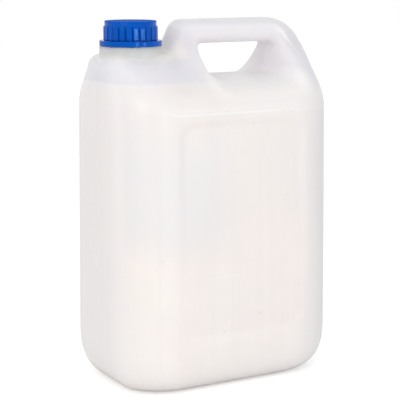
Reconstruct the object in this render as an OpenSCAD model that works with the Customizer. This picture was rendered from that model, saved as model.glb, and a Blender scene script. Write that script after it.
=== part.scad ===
// Five litre jug for massage oil, with a hollow handle and a screw cap.
// The jug stands on z = 0 with its length along x, its broad faces towards
// -y and +y, and its neck near the -x end.

/* [Jug body] */
// Length, end to end, at mid height
body_w = 188.5; // [180:0.5:215]
// Depth, front to back, at mid height
body_d = 126; // [116:1:140]
// Height of the jug, floor to top of handle
jug_h = 287; // [280:1:300]
// Height of the ridge where the sloping shoulders begin
shoulder_h = 229; // [212:1:234]
// Wall thickness
wall = 1.4; // [1.2:0.1:2]
// Share by which the full jug is broader at its foot than at mid height
taper = 0.012; // [0:0.002:0.02]
// How far each broad face swells out at its middle
swell = 3.5; // [0:0.5:6]
// Height of the rounding round the foot
foot_round_h = 40; // [25:1:55]
// How far the rounding draws in the ends of the foot
foot_inset_x = 23.5; // [10:0.5:28]
// How far the rounding draws in the broad faces of the foot
foot_inset_y = 25; // [10:1:28]
// Radius that softens the shoulder ridge
shoulder_round = 10; // [6:1:14]
// How far the far end leans in between the shoulder and the top
end_lean = 6.5; // [2:0.5:10]
// How far the neck's end leans in between the shoulder and the deck
neck_lean = 1; // [0:0.5:4]

/* [Handle] */
// Depth of the handle bar, front to back
handle_d = 34; // [28:1:40]
// Height of the handle bar
bar_h = 19; // [17:0.5:23]
// Width of the finger hole
hole_w = 70.5; // [60:1:78]
// Height of the finger hole
hole_h = 25.5; // [22:0.5:28]
// Width of the leg between the hole and the far end, at the top of the hole
leg_w = 29; // [24:1:34]
// Width of the riser between the neck and the hole
riser_w = 22.5; // [20:0.5:25]
// Gap between the tamper ring and the riser
riser_gap = 6; // [3:0.5:9]
// How far the riser leans over towards the handle
riser_lean = 9; // [0:1:12]
// Radius of the inner corner at the foot of the riser
riser_foot_round = 6; // [4:0.5:8]
// Radius of the top corner over the riser
riser_round = 12; // [8:1:14]
// Radius of the top corner over the leg
leg_round = 34; // [24:1:40]
// Radius of the hole's upper corners
hole_top_round = 5; // [4:0.5:8]
// Radius of the hole's lower corners
hole_low_round = 11; // [8:0.5:11.5]
// How far the lip of the hole rolls out beside and over it
lip_side = 9; // [6:0.5:10]
// How far the lip of the hole rolls out below it
lip_low = 14; // [9:0.5:16]

/* [Neck] */
// Distance from the end of the shoulder to the axis of the neck
neck_inset = 29.5; // [29:0.5:34]
// Height of the deck that carries the neck, below the top of the handle
deck_drop = 25.5; // [23:0.5:28]
// Radius that rounds the edge of the deck
deck_round = 12; // [6:0.5:14]
// Radius of the collar under the cap
collar_r = 24.3; // [23:0.1:25]
// Height of the collar above the deck
collar_h = 5.9; // [4:0.1:7]
// Outer radius of the neck
neck_r = 18.4; // [17:0.1:18.8]
// Wall of the neck
neck_wall = 2.2; // [1.6:0.1:3]
// Height of the neck above the collar
neck_h = 15.9; // [14:0.1:18]
// How far the bead that holds the tamper ring stands out from the neck
bead_w = 1.2; // [0.8:0.1:1.4]

/* [Cap] */
// Outer radius of the cap over its ribs
cap_r = 21.1; // [20.9:0.1:22]
// Depth of the grooves between the ribs
rib_depth = 0.8; // [0.5:0.1:0.9]
// Number of ribs round the cap
rib_count = 24; // [18:1:30]
// Width of each rib
rib_w = 3.2; // [2:0.1:3.4]
// Radius of the flat on top of the cap
crown_r = 19.4; // [18:0.1:19.8]
// Height of the smooth band above the ribs
crown_h = 3.1; // [2:0.1:4]
// Thickness of the cap's top
cap_top = 1.9; // [1.5:0.1:2.5]
// Gap between the cap's skirt and the neck, which its thread bridges
thread_gap = 0.8; // [0.6:0.1:1]
// Thickness of the liner
liner_h = 1.1; // [0.8:0.1:1.4]
// Gap between the liner and the cap's skirt
liner_gap = 0.4; // [0.3:0.05:0.6]
// Outer radius of the tamper ring
ring_r = 24.2; // [23.4:0.1:25]
// Height of the tamper ring
ring_h = 4.2; // [3.6:0.1:4.6]
// Gap between the tamper ring and its neighbours
ring_gap = 0.3; // [0.2:0.05:0.5]

/* [Filling] */
// How far the oil's surface lies below the hollow under the finger hole
oil_drop = 1; // [0.6:0.2:90]
// Gap between the oil and the wall
oil_gap = 0.3; // [0.2:0.05:0.5]

/* [Hidden] */
$fn = 96;

// Share of the half depth that stays flat on the ends of the body, along the
// handle, across the deck and on the wall of the finger hole
end_flat = 0.4;
bar_flat = 0.25;
deck_flat = 0.72;
hole_flat = 0.25;
// Reach of the plan corners along x, as a share of the half depth
corner_share = 0.61;
// Fullness of the foot's rounding: 2 is an ellipse, more is squarer
foot_power = 2.5;
// Distance over which the flat share changes at the deck
deck_blend = 13;

// Rows up the foot and up the flanks
foot_rows = 7;
flank_rows = 6;
// Steps round a plan corner and along a broad face
corner_steps = 6;
face_steps = 12;
// Steps along the parts of the upper outline, from the neck's end to the
// far end: end, deck corner, deck, inner corner, riser, corner, top, corner, end
side_steps = [7, 4, 6, 3, 3, 4, 8, 8, 4];
// Steps along the face and up the riser of the patch below the neck, and half
// the steps round the lower corner of the finger hole beside it
neck_steps = side_steps[1] / 2 + side_steps[2];
riser_steps = side_steps[0] + side_steps[1] / 2;
half_corner_steps = 4;
// Rows from the finger hole out to the outline, near both and between
lip_rows = 4;
middle_rows = 4;
edge_rows = 5;
lip_zone = 13;
edge_zone = 34;
// How far a column of points keeps square to the finger hole, and its steps
leave_zone = 27;
seam_lift = 0.6;
curve_steps = 24;

// Gap above and below the liner
seal_gap = 0.1;
// Height of the bead on the neck and of the tamper ring's lip below it
bead_h = 1.6;
ring_lip_h = 1.3;
// Wall of the tamper ring
ring_wall = 1.1;
// Bevel that breaks the sharp edges of turned pieces
edge_break = 0.6;

// Places that follow from the sizes above. The riser, the finger hole and the
// leg fill the length between the tamper ring and the far end, so when that
// length changes, all three widths change with it in the same proportion.
mid_z = shoulder_h / 2;
deck_z = jug_h - deck_drop;
hole_top_z = jug_h - bar_h;
hole_low_z = hole_top_z - hole_h;
seam_z = min(shoulder_h - shoulder_round, hole_low_z - lip_low);
roof_slope = (body_d - handle_d) / 2 / (hole_top_z - shoulder_h);
seam_x = body_w / 2 * taper_at(seam_z);
end_slope = end_lean / (jug_h - seam_z);
neck_slope = neck_lean / (deck_z - seam_z);
neck_x = neck_inset - seam_x;
riser_x = neck_x + ring_r + riser_gap;
leg_x = seam_x - end_slope * (hole_top_z - seam_z);
handle_fit = (leg_x - riser_x) / (riser_w + hole_w + leg_w);
hole_left_x = riser_x + riser_w * handle_fit;
hole_right_x = leg_x - leg_w * handle_fit;
collar_z = deck_z + collar_h;
rim_z = collar_z + neck_h;
bore_r = neck_r - neck_wall;
ring_z = collar_z + ring_gap;
skirt_z = ring_z + ring_h + ring_gap;
liner_z = rim_z + seal_gap;
cap_z = liner_z + liner_h + seal_gap + cap_top;
skirt_r = neck_r + thread_gap;
core_r = cap_r - rib_depth;
crown_z = cap_z - crown_h;
oil_z = hole_low_z - wall - oil_drop;

// A value part of the way from one number or point to another
function between(a, b, t) = a + (b - a) * t;

// The value held within two limits
function held(v, low, high) = min(max(v, low), high);

// The smaller and the larger of two values, with a soft change-over
function soft_min(a, b, r) = let (h = max(r - abs(a - b), 0) / r) min(a, b) - h * h * r / 4;
function soft_max(a, b, r) = -soft_min(-a, -b, r);

// A ramp from 0 to 1 with no kink at its ends
function ramp(t) = let (k = held(t, 0, 1)) k * k * (3 - 2 * k);

// Height of a quarter round at a distance from its edge, both as shares
function quarter(t) = let (k = 1 - held(t, 0, 1)) sqrt(1 - k * k);

// Share by which the foot is drawn in at a height, from 1 on the floor to 0
function foot_share(z) =
    let (k = 1 - held(z / foot_round_h, 0, 1))
    1 - pow(1 - pow(k, foot_power), 1 / foot_power);

// Factor by which the full jug is broader low down and narrower high up
function taper_at(z) = 1 + taper * (mid_z - z) / mid_z;

// Distance of an end that leans by a slope above the seam from the middle,
// inside a wall of w
function end_x(z, w, slope) = body_w / 2 * taper_at(min(z, seam_z))
    - foot_inset_x * foot_share(z - w) - slope * max(z - seam_z, 0) - w;

// Half the depth of the jug's main form at a height, inside a wall of w
function half_depth(z, w) =
    let (flank = body_d / 2 * taper_at(min(z, shoulder_h)) - foot_inset_y * foot_share(z - w))
    let (roof = body_d / 2 * taper_at(shoulder_h) - roof_slope * (z - shoulder_h))
    soft_max(handle_d / 2, soft_min(flank, roof, shoulder_round), shoulder_round) - w;

// Flat share of the jug's ends, sides and top at a point
function flat_share(x, z) =
    let (ends = between(end_flat, bar_flat, ramp((z - shoulder_h) / (hole_top_z - shoulder_h))))
    let (deck = ramp((riser_x - x) / deck_blend) * ramp((z - deck_z) / deck_blend + 1))
    between(ends, deck_flat, deck);

// Reach of the plan corners along x at a height
function corner_reach(z, w) =
    corner_share * (half_depth(z, w) + foot_inset_y * foot_share(z - w));

// Half the depth beside and below the seam, at a distance from the end
function flank_y(x, z, w) =
    let (t = half_depth(z, w), e = end_x(z, w, 0), flat = flat_share(x, z))
    let (bulge = swell * (1 - pow(x / e, 2)) * sin(180 * min(z / seam_z, 1)))
    t * (flat + (1 - flat) * quarter((e - abs(x)) / corner_reach(z, w))) + bulge;

// Distance from a point to a run of points
function line_distance(p, a, b) =
    let (t = held((p - a) * (b - a) / ((b - a) * (b - a)), 0, 1))
    norm(p - between(a, b, t));
function run_distance(p, run) =
    min([for (i = [0 : len(run) - 2]) line_distance(p, run[i], run[i + 1])]);

function unit(v) = v / norm(v);
function last(run) = run[len(run) - 1];
function part_of(run, a, b) = [for (i = [a : b]) run[i]];
function sum_to(v, n) = n == 0 ? 0 : v[n - 1] + sum_to(v, n - 1);

// A corner [x, z, radius] of an outline whose sides are moved to the right
// of their direction by w. Its curve tightens as a positive w moves it, or
// opens where its turn is -1.
function right_of(a, b) = let (u = unit([b.x - a.x, b.y - a.y])) [u.y, -u.x];
function moved_corner(a, b, c, w, turn) =
    let (m = right_of(a, b), n = right_of(b, c))
    let (p = [b.x, b.y] + (m + n) * w / (1 + m * n))
    [p.x, p.y, b.z - turn * w];

// Points of the rounded corner at b between the directions to a and c
function corner_arc(a, b, c, steps) =
    let (p = [b.x, b.y], u = unit([a.x, a.y] - p), v = unit([c.x, c.y] - p))
    let (half = acos(u * v) / 2, sweep = 180 - 2 * half)
    let (centre = p + unit(u + v) * b.z / sin(half), reach = b.z / tan(half))
    let (s = p + u * reach - centre, e = p + v * reach - centre)
    [for (i = [0 : steps]) let (k = i / steps)
        centre + (s * sin((1 - k) * sweep) + e * sin(k * sweep)) / sin(sweep)];

// Points between two ends, without the ends
function straight(a, b, steps) = [for (i = [1 : 1 : steps - 1]) between(a, b, i / steps)];

// The upper outline at the middle plane, from the neck's end of the seam up
// over the deck and the handle, and down to the far end of the seam
function outline(w) =
    let (start = [w - seam_x, seam_z], stop = [seam_x - w, seam_z])
    let (deck_x = neck_lean - seam_x, top = seam_x - end_lean, n = side_steps)
    let (riser_foot = riser_x - riser_lean * (hole_top_z - deck_z) / bar_h)
    let (plain = [[-seam_x - neck_slope, seam_z - 1], [deck_x, deck_z, deck_round],
        [riser_foot, deck_z, riser_foot_round], [riser_x + riser_lean, jug_h, riser_round],
        [top, jug_h, leg_round], [seam_x + end_slope, seam_z - 1]])
    let (turns = [1, 1, -1, 1, 1])
    let (c = [for (i = [1 : 4]) moved_corner(plain[i - 1], plain[i], plain[i + 1], w, turns[i])])
    let (deck_corner = corner_arc(start, c[0], c[1], n[1]))
    let (inner_corner = corner_arc(c[0], c[1], c[2], n[3]))
    let (riser_top = corner_arc(c[1], c[2], c[3], n[5]))
    let (leg_top = corner_arc(c[2], c[3], stop, n[7]))
    concat([start], straight(start, deck_corner[0], n[0]), deck_corner,
        straight(last(deck_corner), inner_corner[0], n[2]), inner_corner,
        straight(last(inner_corner), riser_top[0], n[4]), riser_top,
        straight(last(riser_top), leg_top[0], n[6]), leg_top,
        straight(last(leg_top), stop, n[8]), [stop]);

// The finger hole at the middle plane, from the middle of its lower corner by
// the neck, up and round to there again, with as many points as its rim
function hole_outline(w) =
    let (n = side_steps, h = half_corner_steps, wall_steps = riser_steps - h + n[3] + n[4])
    let (floor_steps = face_steps + corner_steps - neck_steps - h)
    let (plain = [[hole_left_x, hole_low_z, hole_low_round],
        [hole_left_x, hole_top_z, hole_top_round],
        [hole_right_x, hole_top_z, hole_top_round],
        [hole_right_x, hole_low_z, hole_low_round]])
    let (c = [for (i = [0 : 3])
        moved_corner(plain[(i + 3) % 4], plain[i], plain[(i + 1) % 4], -w, 1)])
    let (low_left = corner_arc(c[3], c[0], c[1], 2 * h))
    let (top_left = corner_arc(c[0], c[1], c[2], n[5]))
    let (top_right = corner_arc(c[1], c[2], c[3], n[7]))
    let (low_right = corner_arc(c[2], c[3], c[0], corner_steps))
    concat(part_of(low_left, h, 2 * h), straight(last(low_left), top_left[0], wall_steps),
        top_left, straight(last(top_left), top_right[0], n[6]), top_right,
        straight(last(top_right), low_right[0], n[8]), low_right,
        straight(last(low_right), low_left[0], floor_steps), part_of(low_left, 0, h - 1));

// Distance from the finger hole as a share of its lip, which is deeper below
function lip_share(p, hole) =
    let (level = hole_low_z + hole_low_round)
    let (even = function (q) q.y < level ? [q.x, level + (q.y - level) * lip_side / lip_low] : q)
    let (run = [for (q = hole) even(q)])
    run_distance(even(p), concat(run, [run[0]])) / lip_side;

// Distance from the outline as a share of its rounding, which is r or, along
// the deck, the deck's own
function edge_share(p, edge, r) =
    let (a = sum_to(side_steps, 1), b = sum_to(side_steps, 2))
    let (c = sum_to(side_steps, 3), d = sum_to(side_steps, 4))
    min(run_distance(p, part_of(edge, 0, b)) / r,
        run_distance(p, part_of(edge, a, d)) / deck_round,
        run_distance(p, part_of(edge, c, len(edge) - 1)) / r);

// Half the depth of the upper jug at a point of its middle plane
function upper_y(p, edge, hole, w) =
    let (t = half_depth(p.y, w), flat = flat_share(p.x, p.y))
    let (rim = flat + (1 - flat) * quarter(edge_share(p, edge, corner_share * t)))
    let (lip = hole_flat + (1 - hole_flat) * quarter(lip_share(p, hole)))
    t * rim * lip;

// Places along x across a broad face at a height
function face_places(z, w) =
    let (near = end_x(z, w, neck_slope), far = end_x(z, w, end_slope))
    let (r = corner_reach(z, w))
    let (inset = [for (i = [0 : corner_steps]) r * (1 - cos(90 * i / corner_steps))])
    concat([for (s = inset) s - near], straight(r - near, far - r, face_steps),
        [for (i = [corner_steps : -1 : 0]) far - inset[i]]);

// The front of a level section, from the neck's end to the far end
function front_row(z, w) =
    [for (x = face_places(z, w)) [x, -flank_y(x, z, w), z]];

// A front row closed with the back that mirrors it
function ring_of(front) =
    concat(front, [for (i = [len(front) - 1 : -1 : 0]) [front[i].x, -front[i].y, front[i].z]]);

// Heights of the level sections, from the floor to the seam
function row_heights(w) =
    concat([for (i = [0 : foot_rows]) w + (foot_round_h) * (1 - cos(90 * i / foot_rows))],
        straight(w + foot_round_h, seam_z, flank_rows), [seam_z]);

// Shares of the way from the hole to the outline at which the rows lie, with
// the last ones closer together the more the crowd is
function row_shares(reach, crowd) =
    let (near = min(lip_zone / reach, 0.45), far = min(edge_zone / reach, 0.45))
    concat([for (i = [0 : lip_rows]) near * (1 - cos(90 * i / lip_rows))],
        straight(near, 1 - far, middle_rows),
        [for (i = [edge_rows : -1 : 0])
            1 - far * between(i / edge_rows, 1 - cos(90 * i / edge_rows), crowd)]);

// Direction square to a closed run at one of its points, to the right
function square_to(run, i) =
    right_of(run[(i + len(run) - 1) % len(run)], run[(i + 1) % len(run)]);

// Lengths along a run up to each of its points
function lengths(run, i = 0, so_far = 0) = i == len(run) - 1 ? [so_far]
    : concat([so_far], lengths(run, i + 1, so_far + norm(run[i + 1] - run[i])));

// The place at a length along a run
function place_at(run, along, s, i = 0) = i == len(run) - 2 || along[i + 1] > s
    ? between(run[i], run[i + 1], (s - along[i]) / (along[i + 1] - along[i]))
    : place_at(run, along, s, i + 1);

// A column of points from the hole at a to the rim at b. It leaves the hole
// along u and comes to the rim between its straight way and v.
function column(a, u, b, v, crowd) =
    let (reach = norm(b - a))
    let (c = a + u * min(reach, leave_zone) / 3)
    let (d = b + unit(unit(a - b) + v) * reach / 3)
    let (run = [for (i = [0 : curve_steps]) let (t = i / curve_steps, k = 1 - t)
        a * k * k * k + 3 * c * k * k * t + 3 * d * k * t * t + b * t * t * t])
    let (along = lengths(run))
    [for (share = row_shares(last(along), crowd)) place_at(run, along, share * last(along))];

// Two triangles of a four-sided face, split along its shorter diagonal
function split(points, a, b, c, d) =
    norm(points[a] - points[c]) < norm(points[b] - points[d])
        ? [[a, b, c], [a, c, d]] : [[a, b, d], [b, c, d]];

// Faces between two rows of n points that start at a and b
function strip(points, a, b, n, closed) = [for (i = [0 : closed ? n - 1 : n - 2])
    let (j = (i + 1) % n)
    each split(points, a + i, b + i, b + j, a + j)];
function turned(faces) = [for (f = faces) [f[2], f[1], f[0]]];
function shifted(faces, by) = [for (f = faces) f + [by, by, by]];
function joined(rows) = [for (row = rows, p = row) p];

// Faces of a sheet of rows of n points that starts at a
function sheet(points, a, rows, n, closed) =
    [for (r = [0 : rows - 2]) each strip(points, a + r * n, a + (r + 1) * n, n, closed)];

// Rows of places between four sides: low and high run along, near and far up
function patch(low, high, near, far) =
    let (m = len(low) - 1, n = len(near) - 1)
    [for (j = [0 : n]) [for (i = [0 : m])
        let (u = i / m, v = j / n)
        i == 0 ? near[j] : i == m ? far[j] : j == 0 ? low[i] : j == n ? high[i]
            : between(near[j], far[j], u) + between(low[i], high[i], v)
                - between(between(low[0], low[m], u), between(high[0], high[m], u), v)]];

// Columns of places from the hole out to its rim, whose last points from
// on_seam on lie on the seam and whose first ones lie on the riser line
function columns(hole, rim, on_seam) = [for (i = [0 : len(rim) - 1])
    let (out = pow(abs(rim[i].x) / seam_x, 4), square = square_to(rim, i))
    let (v = i >= on_seam ? [0, between(1, seam_lift, out)]
        : abs(i - riser_steps) < side_steps[3] ? [0, 0] : i < riser_steps ? square
        : between([0, seam_lift], square, ramp((rim[i].y - seam_z) / edge_zone)))
    let (crowd = i >= on_seam ? out * out : i < riser_steps ? 0 : 1)
    column(hole[i], -square_to(hole, i), rim[i], v, crowd)];

// The jug's outer form, or with a wall w the hollow inside it: level sections
// up to the seam, and above it a patch below the neck, a sheet of rows round
// the finger hole, the same at the back, and a band between the two
module jug_form(w) {
    edge = outline(w);
    hole = hole_outline(w);
    rows = [for (z = row_heights(w)) ring_of(front_row(z, w))];
    seam = [for (x = face_places(seam_z, w)) [x, seam_z]];
    far = len(seam) - 1;
    foot = sum_to(side_steps, 3);
    riser = concat([seam[neck_steps]], straight(seam[neck_steps], edge[foot], riser_steps),
        [edge[foot]]);
    neck_part = patch(part_of(seam, 0, neck_steps), part_of(edge, riser_steps, foot),
        part_of(edge, 0, riser_steps), riser);
    rim = concat(riser, part_of(edge, foot + 1, len(edge) - 1),
        [for (i = [far - 1 : -1 : neck_steps + 1]) seam[i]]);
    out = columns(hole, rim, len(rim) - (far - neck_steps - 1));
    hole_part = [for (r = [0 : len(out[0]) - 1]) [for (c = out) c[r]]];
    front = [for (p = concat(joined(neck_part), joined(hole_part), edge))
        p.y > seam_z ? [p.x, -upper_y(p, edge, hole, w), p.y]
            : [p.x, -flank_y(p.x, seam_z, w), seam_z]];
    points = concat(joined(rows), front, [for (p = front) [p.x, -p.y, p.z]]);
    m = len(rows[0]);
    n = len(rim);
    neck_0 = len(rows) * m;
    hole_0 = neck_0 + (riser_steps + 1) * (neck_steps + 1);
    edge_0 = hole_0 + len(hole_part) * n;
    front_faces = concat(sheet(points, neck_0, riser_steps + 1, neck_steps + 1, false),
        sheet(points, hole_0, len(hole_part), n, true));
    polyhedron(points, concat([[for (i = [0 : m - 1]) i]],
        sheet(points, 0, len(rows), m, true),
        front_faces,
        turned(shifted(front_faces, len(front))),
        strip(points, edge_0, edge_0 + len(front), len(edge), false),
        turned(strip(points, hole_0, hole_0 + len(front), n, true))));
}

// The collar, the neck and the bead that holds the tamper ring, unbored
module neck_form() {
    root_z = deck_z - 2 * deck_round;
    bead_z = ring_z + ring_lip_h + ring_gap;
    translate([neck_x, 0, 0]) rotate_extrude() polygon([
        [0, root_z], [collar_r, root_z], [collar_r, collar_z - edge_break],
        [collar_r - edge_break, collar_z], [neck_r, collar_z], [neck_r, bead_z],
        [neck_r + bead_w, bead_z], [neck_r + bead_w, bead_z + bead_h / 2],
        [neck_r, bead_z + bead_h], [neck_r, rim_z - edge_break],
        [neck_r - edge_break, rim_z], [0, rim_z]]);
}

module body() {
    color([0.9, 0.9, 0.92, 0.7]) difference() {
        union() {
            jug_form(0);
            neck_form();
        }
        jug_form(wall);
        translate([neck_x, 0, deck_z - 2 * deck_round])
            cylinder(r = bore_r, h = rim_z - deck_z + 3 * deck_round);
    }
}

// The filling: what the hollow holds below the oil's surface
module oil() {
    w = wall + oil_gap;
    color([0.96, 0.93, 0.9]) intersection() {
        jug_form(w);
        translate([-body_w, -body_d, 0]) cube([2 * body_w, 2 * body_d, oil_z]);
    }
}

// The band that stays on the neck: a lip under the bead, a top and a skirt
module tamper_ring() {
    lip_r = neck_r + ring_gap;
    clear_r = neck_r + bead_w + ring_gap;
    top_z = ring_z + ring_h;
    color([0.03, 0.25, 0.72]) translate([neck_x, 0, 0]) rotate_extrude() polygon([
        [lip_r, ring_z], [clear_r + ring_wall, ring_z],
        [clear_r + ring_wall, top_z - ring_wall], [ring_r - ring_wall, top_z - ring_wall],
        [ring_r - ring_wall, ring_z], [ring_r, ring_z], [ring_r, top_z - edge_break],
        [ring_r - edge_break, top_z], [clear_r, top_z], [clear_r, ring_z + ring_lip_h],
        [lip_r, ring_z + ring_lip_h / 2]]);
}

// A profile of the cap turned round its axis
module cap_turned(profile) {
    translate([neck_x, 0, 0]) rotate_extrude() polygon(profile);
}

module cap() {
    rib_top_z = crown_z - rib_depth;
    color([0.03, 0.28, 0.78]) difference() {
        union() {
            cap_turned([[0, skirt_z], [core_r, skirt_z], [core_r, crown_z],
                [crown_r + edge_break, cap_z - edge_break], [crown_r, cap_z], [0, cap_z]]);
            intersection() {
                cap_turned([[0, skirt_z], [cap_r, skirt_z], [cap_r, rib_top_z],
                    [core_r, crown_z], [0, crown_z]]);
                for (i = [0 : rib_count - 1])
                    translate([neck_x, 0, skirt_z]) rotate(i * 360 / rib_count)
                        translate([0, -rib_w / 2, 0]) cube([cap_r + 1, rib_w, crown_h + skirt_z]);
            }
        }
        translate([neck_x, 0, skirt_z - 1]) cylinder(r = skirt_r, h = cap_z - cap_top - skirt_z + 1);
    }
}

module liner() {
    color([0.93, 0.93, 0.92]) translate([neck_x, 0, liner_z])
        cylinder(r = skirt_r - liner_gap, h = liner_h);
}

body();
oil();
tamper_ring();
cap();
liner();
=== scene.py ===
"""Looks of a five litre massage oil jug: natural plastic, blue screw cap, pale oil.

Sizes are named in millimetres, as in the part's own source, and every mesh is
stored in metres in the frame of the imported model.
"""

import logging
import math
from dataclasses import dataclass
from enum import Enum
from typing import Any, Sequence

import bmesh
import bpy
import numpy as np
from mathutils import Matrix, Vector
from mathutils.bvhtree import BVHTree


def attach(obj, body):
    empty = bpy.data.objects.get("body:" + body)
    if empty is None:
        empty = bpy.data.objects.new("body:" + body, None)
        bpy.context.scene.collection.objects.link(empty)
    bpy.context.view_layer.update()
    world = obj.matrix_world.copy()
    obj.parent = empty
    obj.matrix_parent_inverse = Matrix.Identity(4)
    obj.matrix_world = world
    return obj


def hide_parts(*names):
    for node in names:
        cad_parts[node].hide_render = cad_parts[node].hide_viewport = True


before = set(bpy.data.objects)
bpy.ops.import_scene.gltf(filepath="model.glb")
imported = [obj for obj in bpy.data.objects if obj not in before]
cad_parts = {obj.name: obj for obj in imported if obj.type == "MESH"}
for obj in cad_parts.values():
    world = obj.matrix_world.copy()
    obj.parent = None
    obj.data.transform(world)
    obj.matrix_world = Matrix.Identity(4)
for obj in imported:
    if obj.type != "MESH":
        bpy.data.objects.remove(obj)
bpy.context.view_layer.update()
log = logging.getLogger("oil_jug")

MM = 0.001
WELD = 1e-6

# Screw thread of the neck and the cap: its rise in one turn, the half widths of its foot
# and crest, how deep its foot and its faded ends stand in the wall, the steps of a turn,
# and over how many of them and down to what share of its height its ends fade.
PITCH = 5
THREAD_FOOT = 0.95
THREAD_CREST = 0.4
THREAD_SUNK = 0.3
THREAD_ROOT = 0.2
TURN_STEPS = 48
FADE_STEPS = 9
FADE_SHARE = 0.12

Colour = tuple[float, float, float, float]
Socket = bpy.types.NodeSocket
Pair = tuple[float, float]
Values = float | np.ndarray


class Body(Enum):
    """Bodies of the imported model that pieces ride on."""

    JUG = "jug"
    CAP = "cap"


class Slot(Enum):
    """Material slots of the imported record."""

    PLASTIC = "natural_plastic"
    BLUE = "blue_plastic"


def screen(red: int, green: int, blue: int) -> Colour:
    """Gives the linear colour of a screen colour.

    Args:
        red, green, blue: Screen values from 0 to 255.

    Returns:
        The same colour in linear light, with full alpha.
    """
    def linear(value: float) -> float:
        """Linear light of one screen value from 0 to 1."""
        return value / 12.92 if value <= 0.04045 else ((value + 0.055) / 1.055) ** 2.4

    return (linear(red / 255), linear(green / 255), linear(blue / 255), 1.0)


# Shape of the jug


def ramp(share: Values) -> Values:
    """Runs from 0 to 1 with no kink at its ends."""
    held = np.clip(share, 0, 1)
    return held * held * (3 - 2 * held)


def quarter(share: Values) -> Values:
    """Height of a quarter round at a distance from its edge, both as shares."""
    held = 1 - np.clip(share, 0, 1)
    return np.sqrt(1 - held * held)


def soft_min(a: Values, b: Values, reach: float) -> Values:
    """Smaller of two values, with a soft change-over."""
    share = np.maximum(reach - np.abs(a - b), 0) / reach
    return np.minimum(a, b) - share * share * reach / 4


def soft_max(a: Values, b: Values, reach: float) -> Values:
    """Larger of two values, with a soft change-over."""
    return -soft_min(-a, -b, reach)


def between(a: Values, b: Values, share: Values) -> Values:
    """Value part of the way from a to b."""
    return a + (b - a) * share


def run_distance(points: np.ndarray, run: np.ndarray) -> np.ndarray:
    """Measures how far points lie from a run of straight pieces.

    Args:
        points: Places, with their two coordinates on the last axis.
        run: Points of the run, one per row.

    Returns:
        One distance for each place.
    """
    start, way = run[:-1], run[1:] - run[:-1]
    keep = (way ** 2).sum(1) > 1e-12
    start, way = start[keep], way[keep]
    offset = points[..., None, :] - start
    share = np.clip((offset * way).sum(-1) / (way ** 2).sum(-1), 0, 1)
    return np.linalg.norm(offset - share[..., None] * way, axis=-1).min(-1)


def straight(a: np.ndarray, b: np.ndarray, steps: int) -> list[np.ndarray]:
    """Points between two ends, without the ends."""
    return [between(a, b, i / steps) for i in range(1, steps)]


def unit(way: np.ndarray) -> np.ndarray:
    """Direction of a way, with length 1."""
    return way / np.linalg.norm(way)


def right_of(a: np.ndarray, b: np.ndarray) -> np.ndarray:
    """Direction to the right of the way from a to b."""
    along = unit(b[:2] - a[:2])
    return np.array([along[1], -along[0]])


def moved_corner(a: np.ndarray, b: np.ndarray, c: np.ndarray, by: float, turn: int) -> np.ndarray:
    """Moves a corner of an outline whose sides all move to their right.

    Args:
        a, b, c: The corner before, the corner itself and the one after, each
            with x, z and radius.
        by: Distance by which the sides move.
        turn: 1 where the outline turns right at the corner, -1 where it turns left.

    Returns:
        The moved corner, with its tighter or wider radius.
    """
    m, n = right_of(a, b), right_of(b, c)
    place = b[:2] + (m + n) * by / (1 + m @ n)
    return np.array([*place, b[2] - turn * by])


def corner_arc(a: np.ndarray, b: np.ndarray, c: np.ndarray, steps: int) -> list[np.ndarray]:
    """Points of the rounded corner at b.

    Args:
        a, c: Corners before and after.
        b: The corner, with x, z and radius.
        steps: Number of steps round the arc.

    Returns:
        The points, from the side towards a to the side towards c.
    """
    p, u, v = b[:2], unit(a[:2] - b[:2]), unit(c[:2] - b[:2])
    half = math.acos(float(np.clip(u @ v, -1, 1))) / 2
    sweep = math.pi - 2 * half
    centre = p + unit(u + v) * b[2] / math.sin(half)
    first = p + u * b[2] / math.tan(half) - centre
    final = p + v * b[2] / math.tan(half) - centre
    shares = [i / steps for i in range(steps + 1)]
    return [centre + (first * math.sin((1 - k) * sweep) + final * math.sin(k * sweep))
            / math.sin(sweep) for k in shares]


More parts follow.
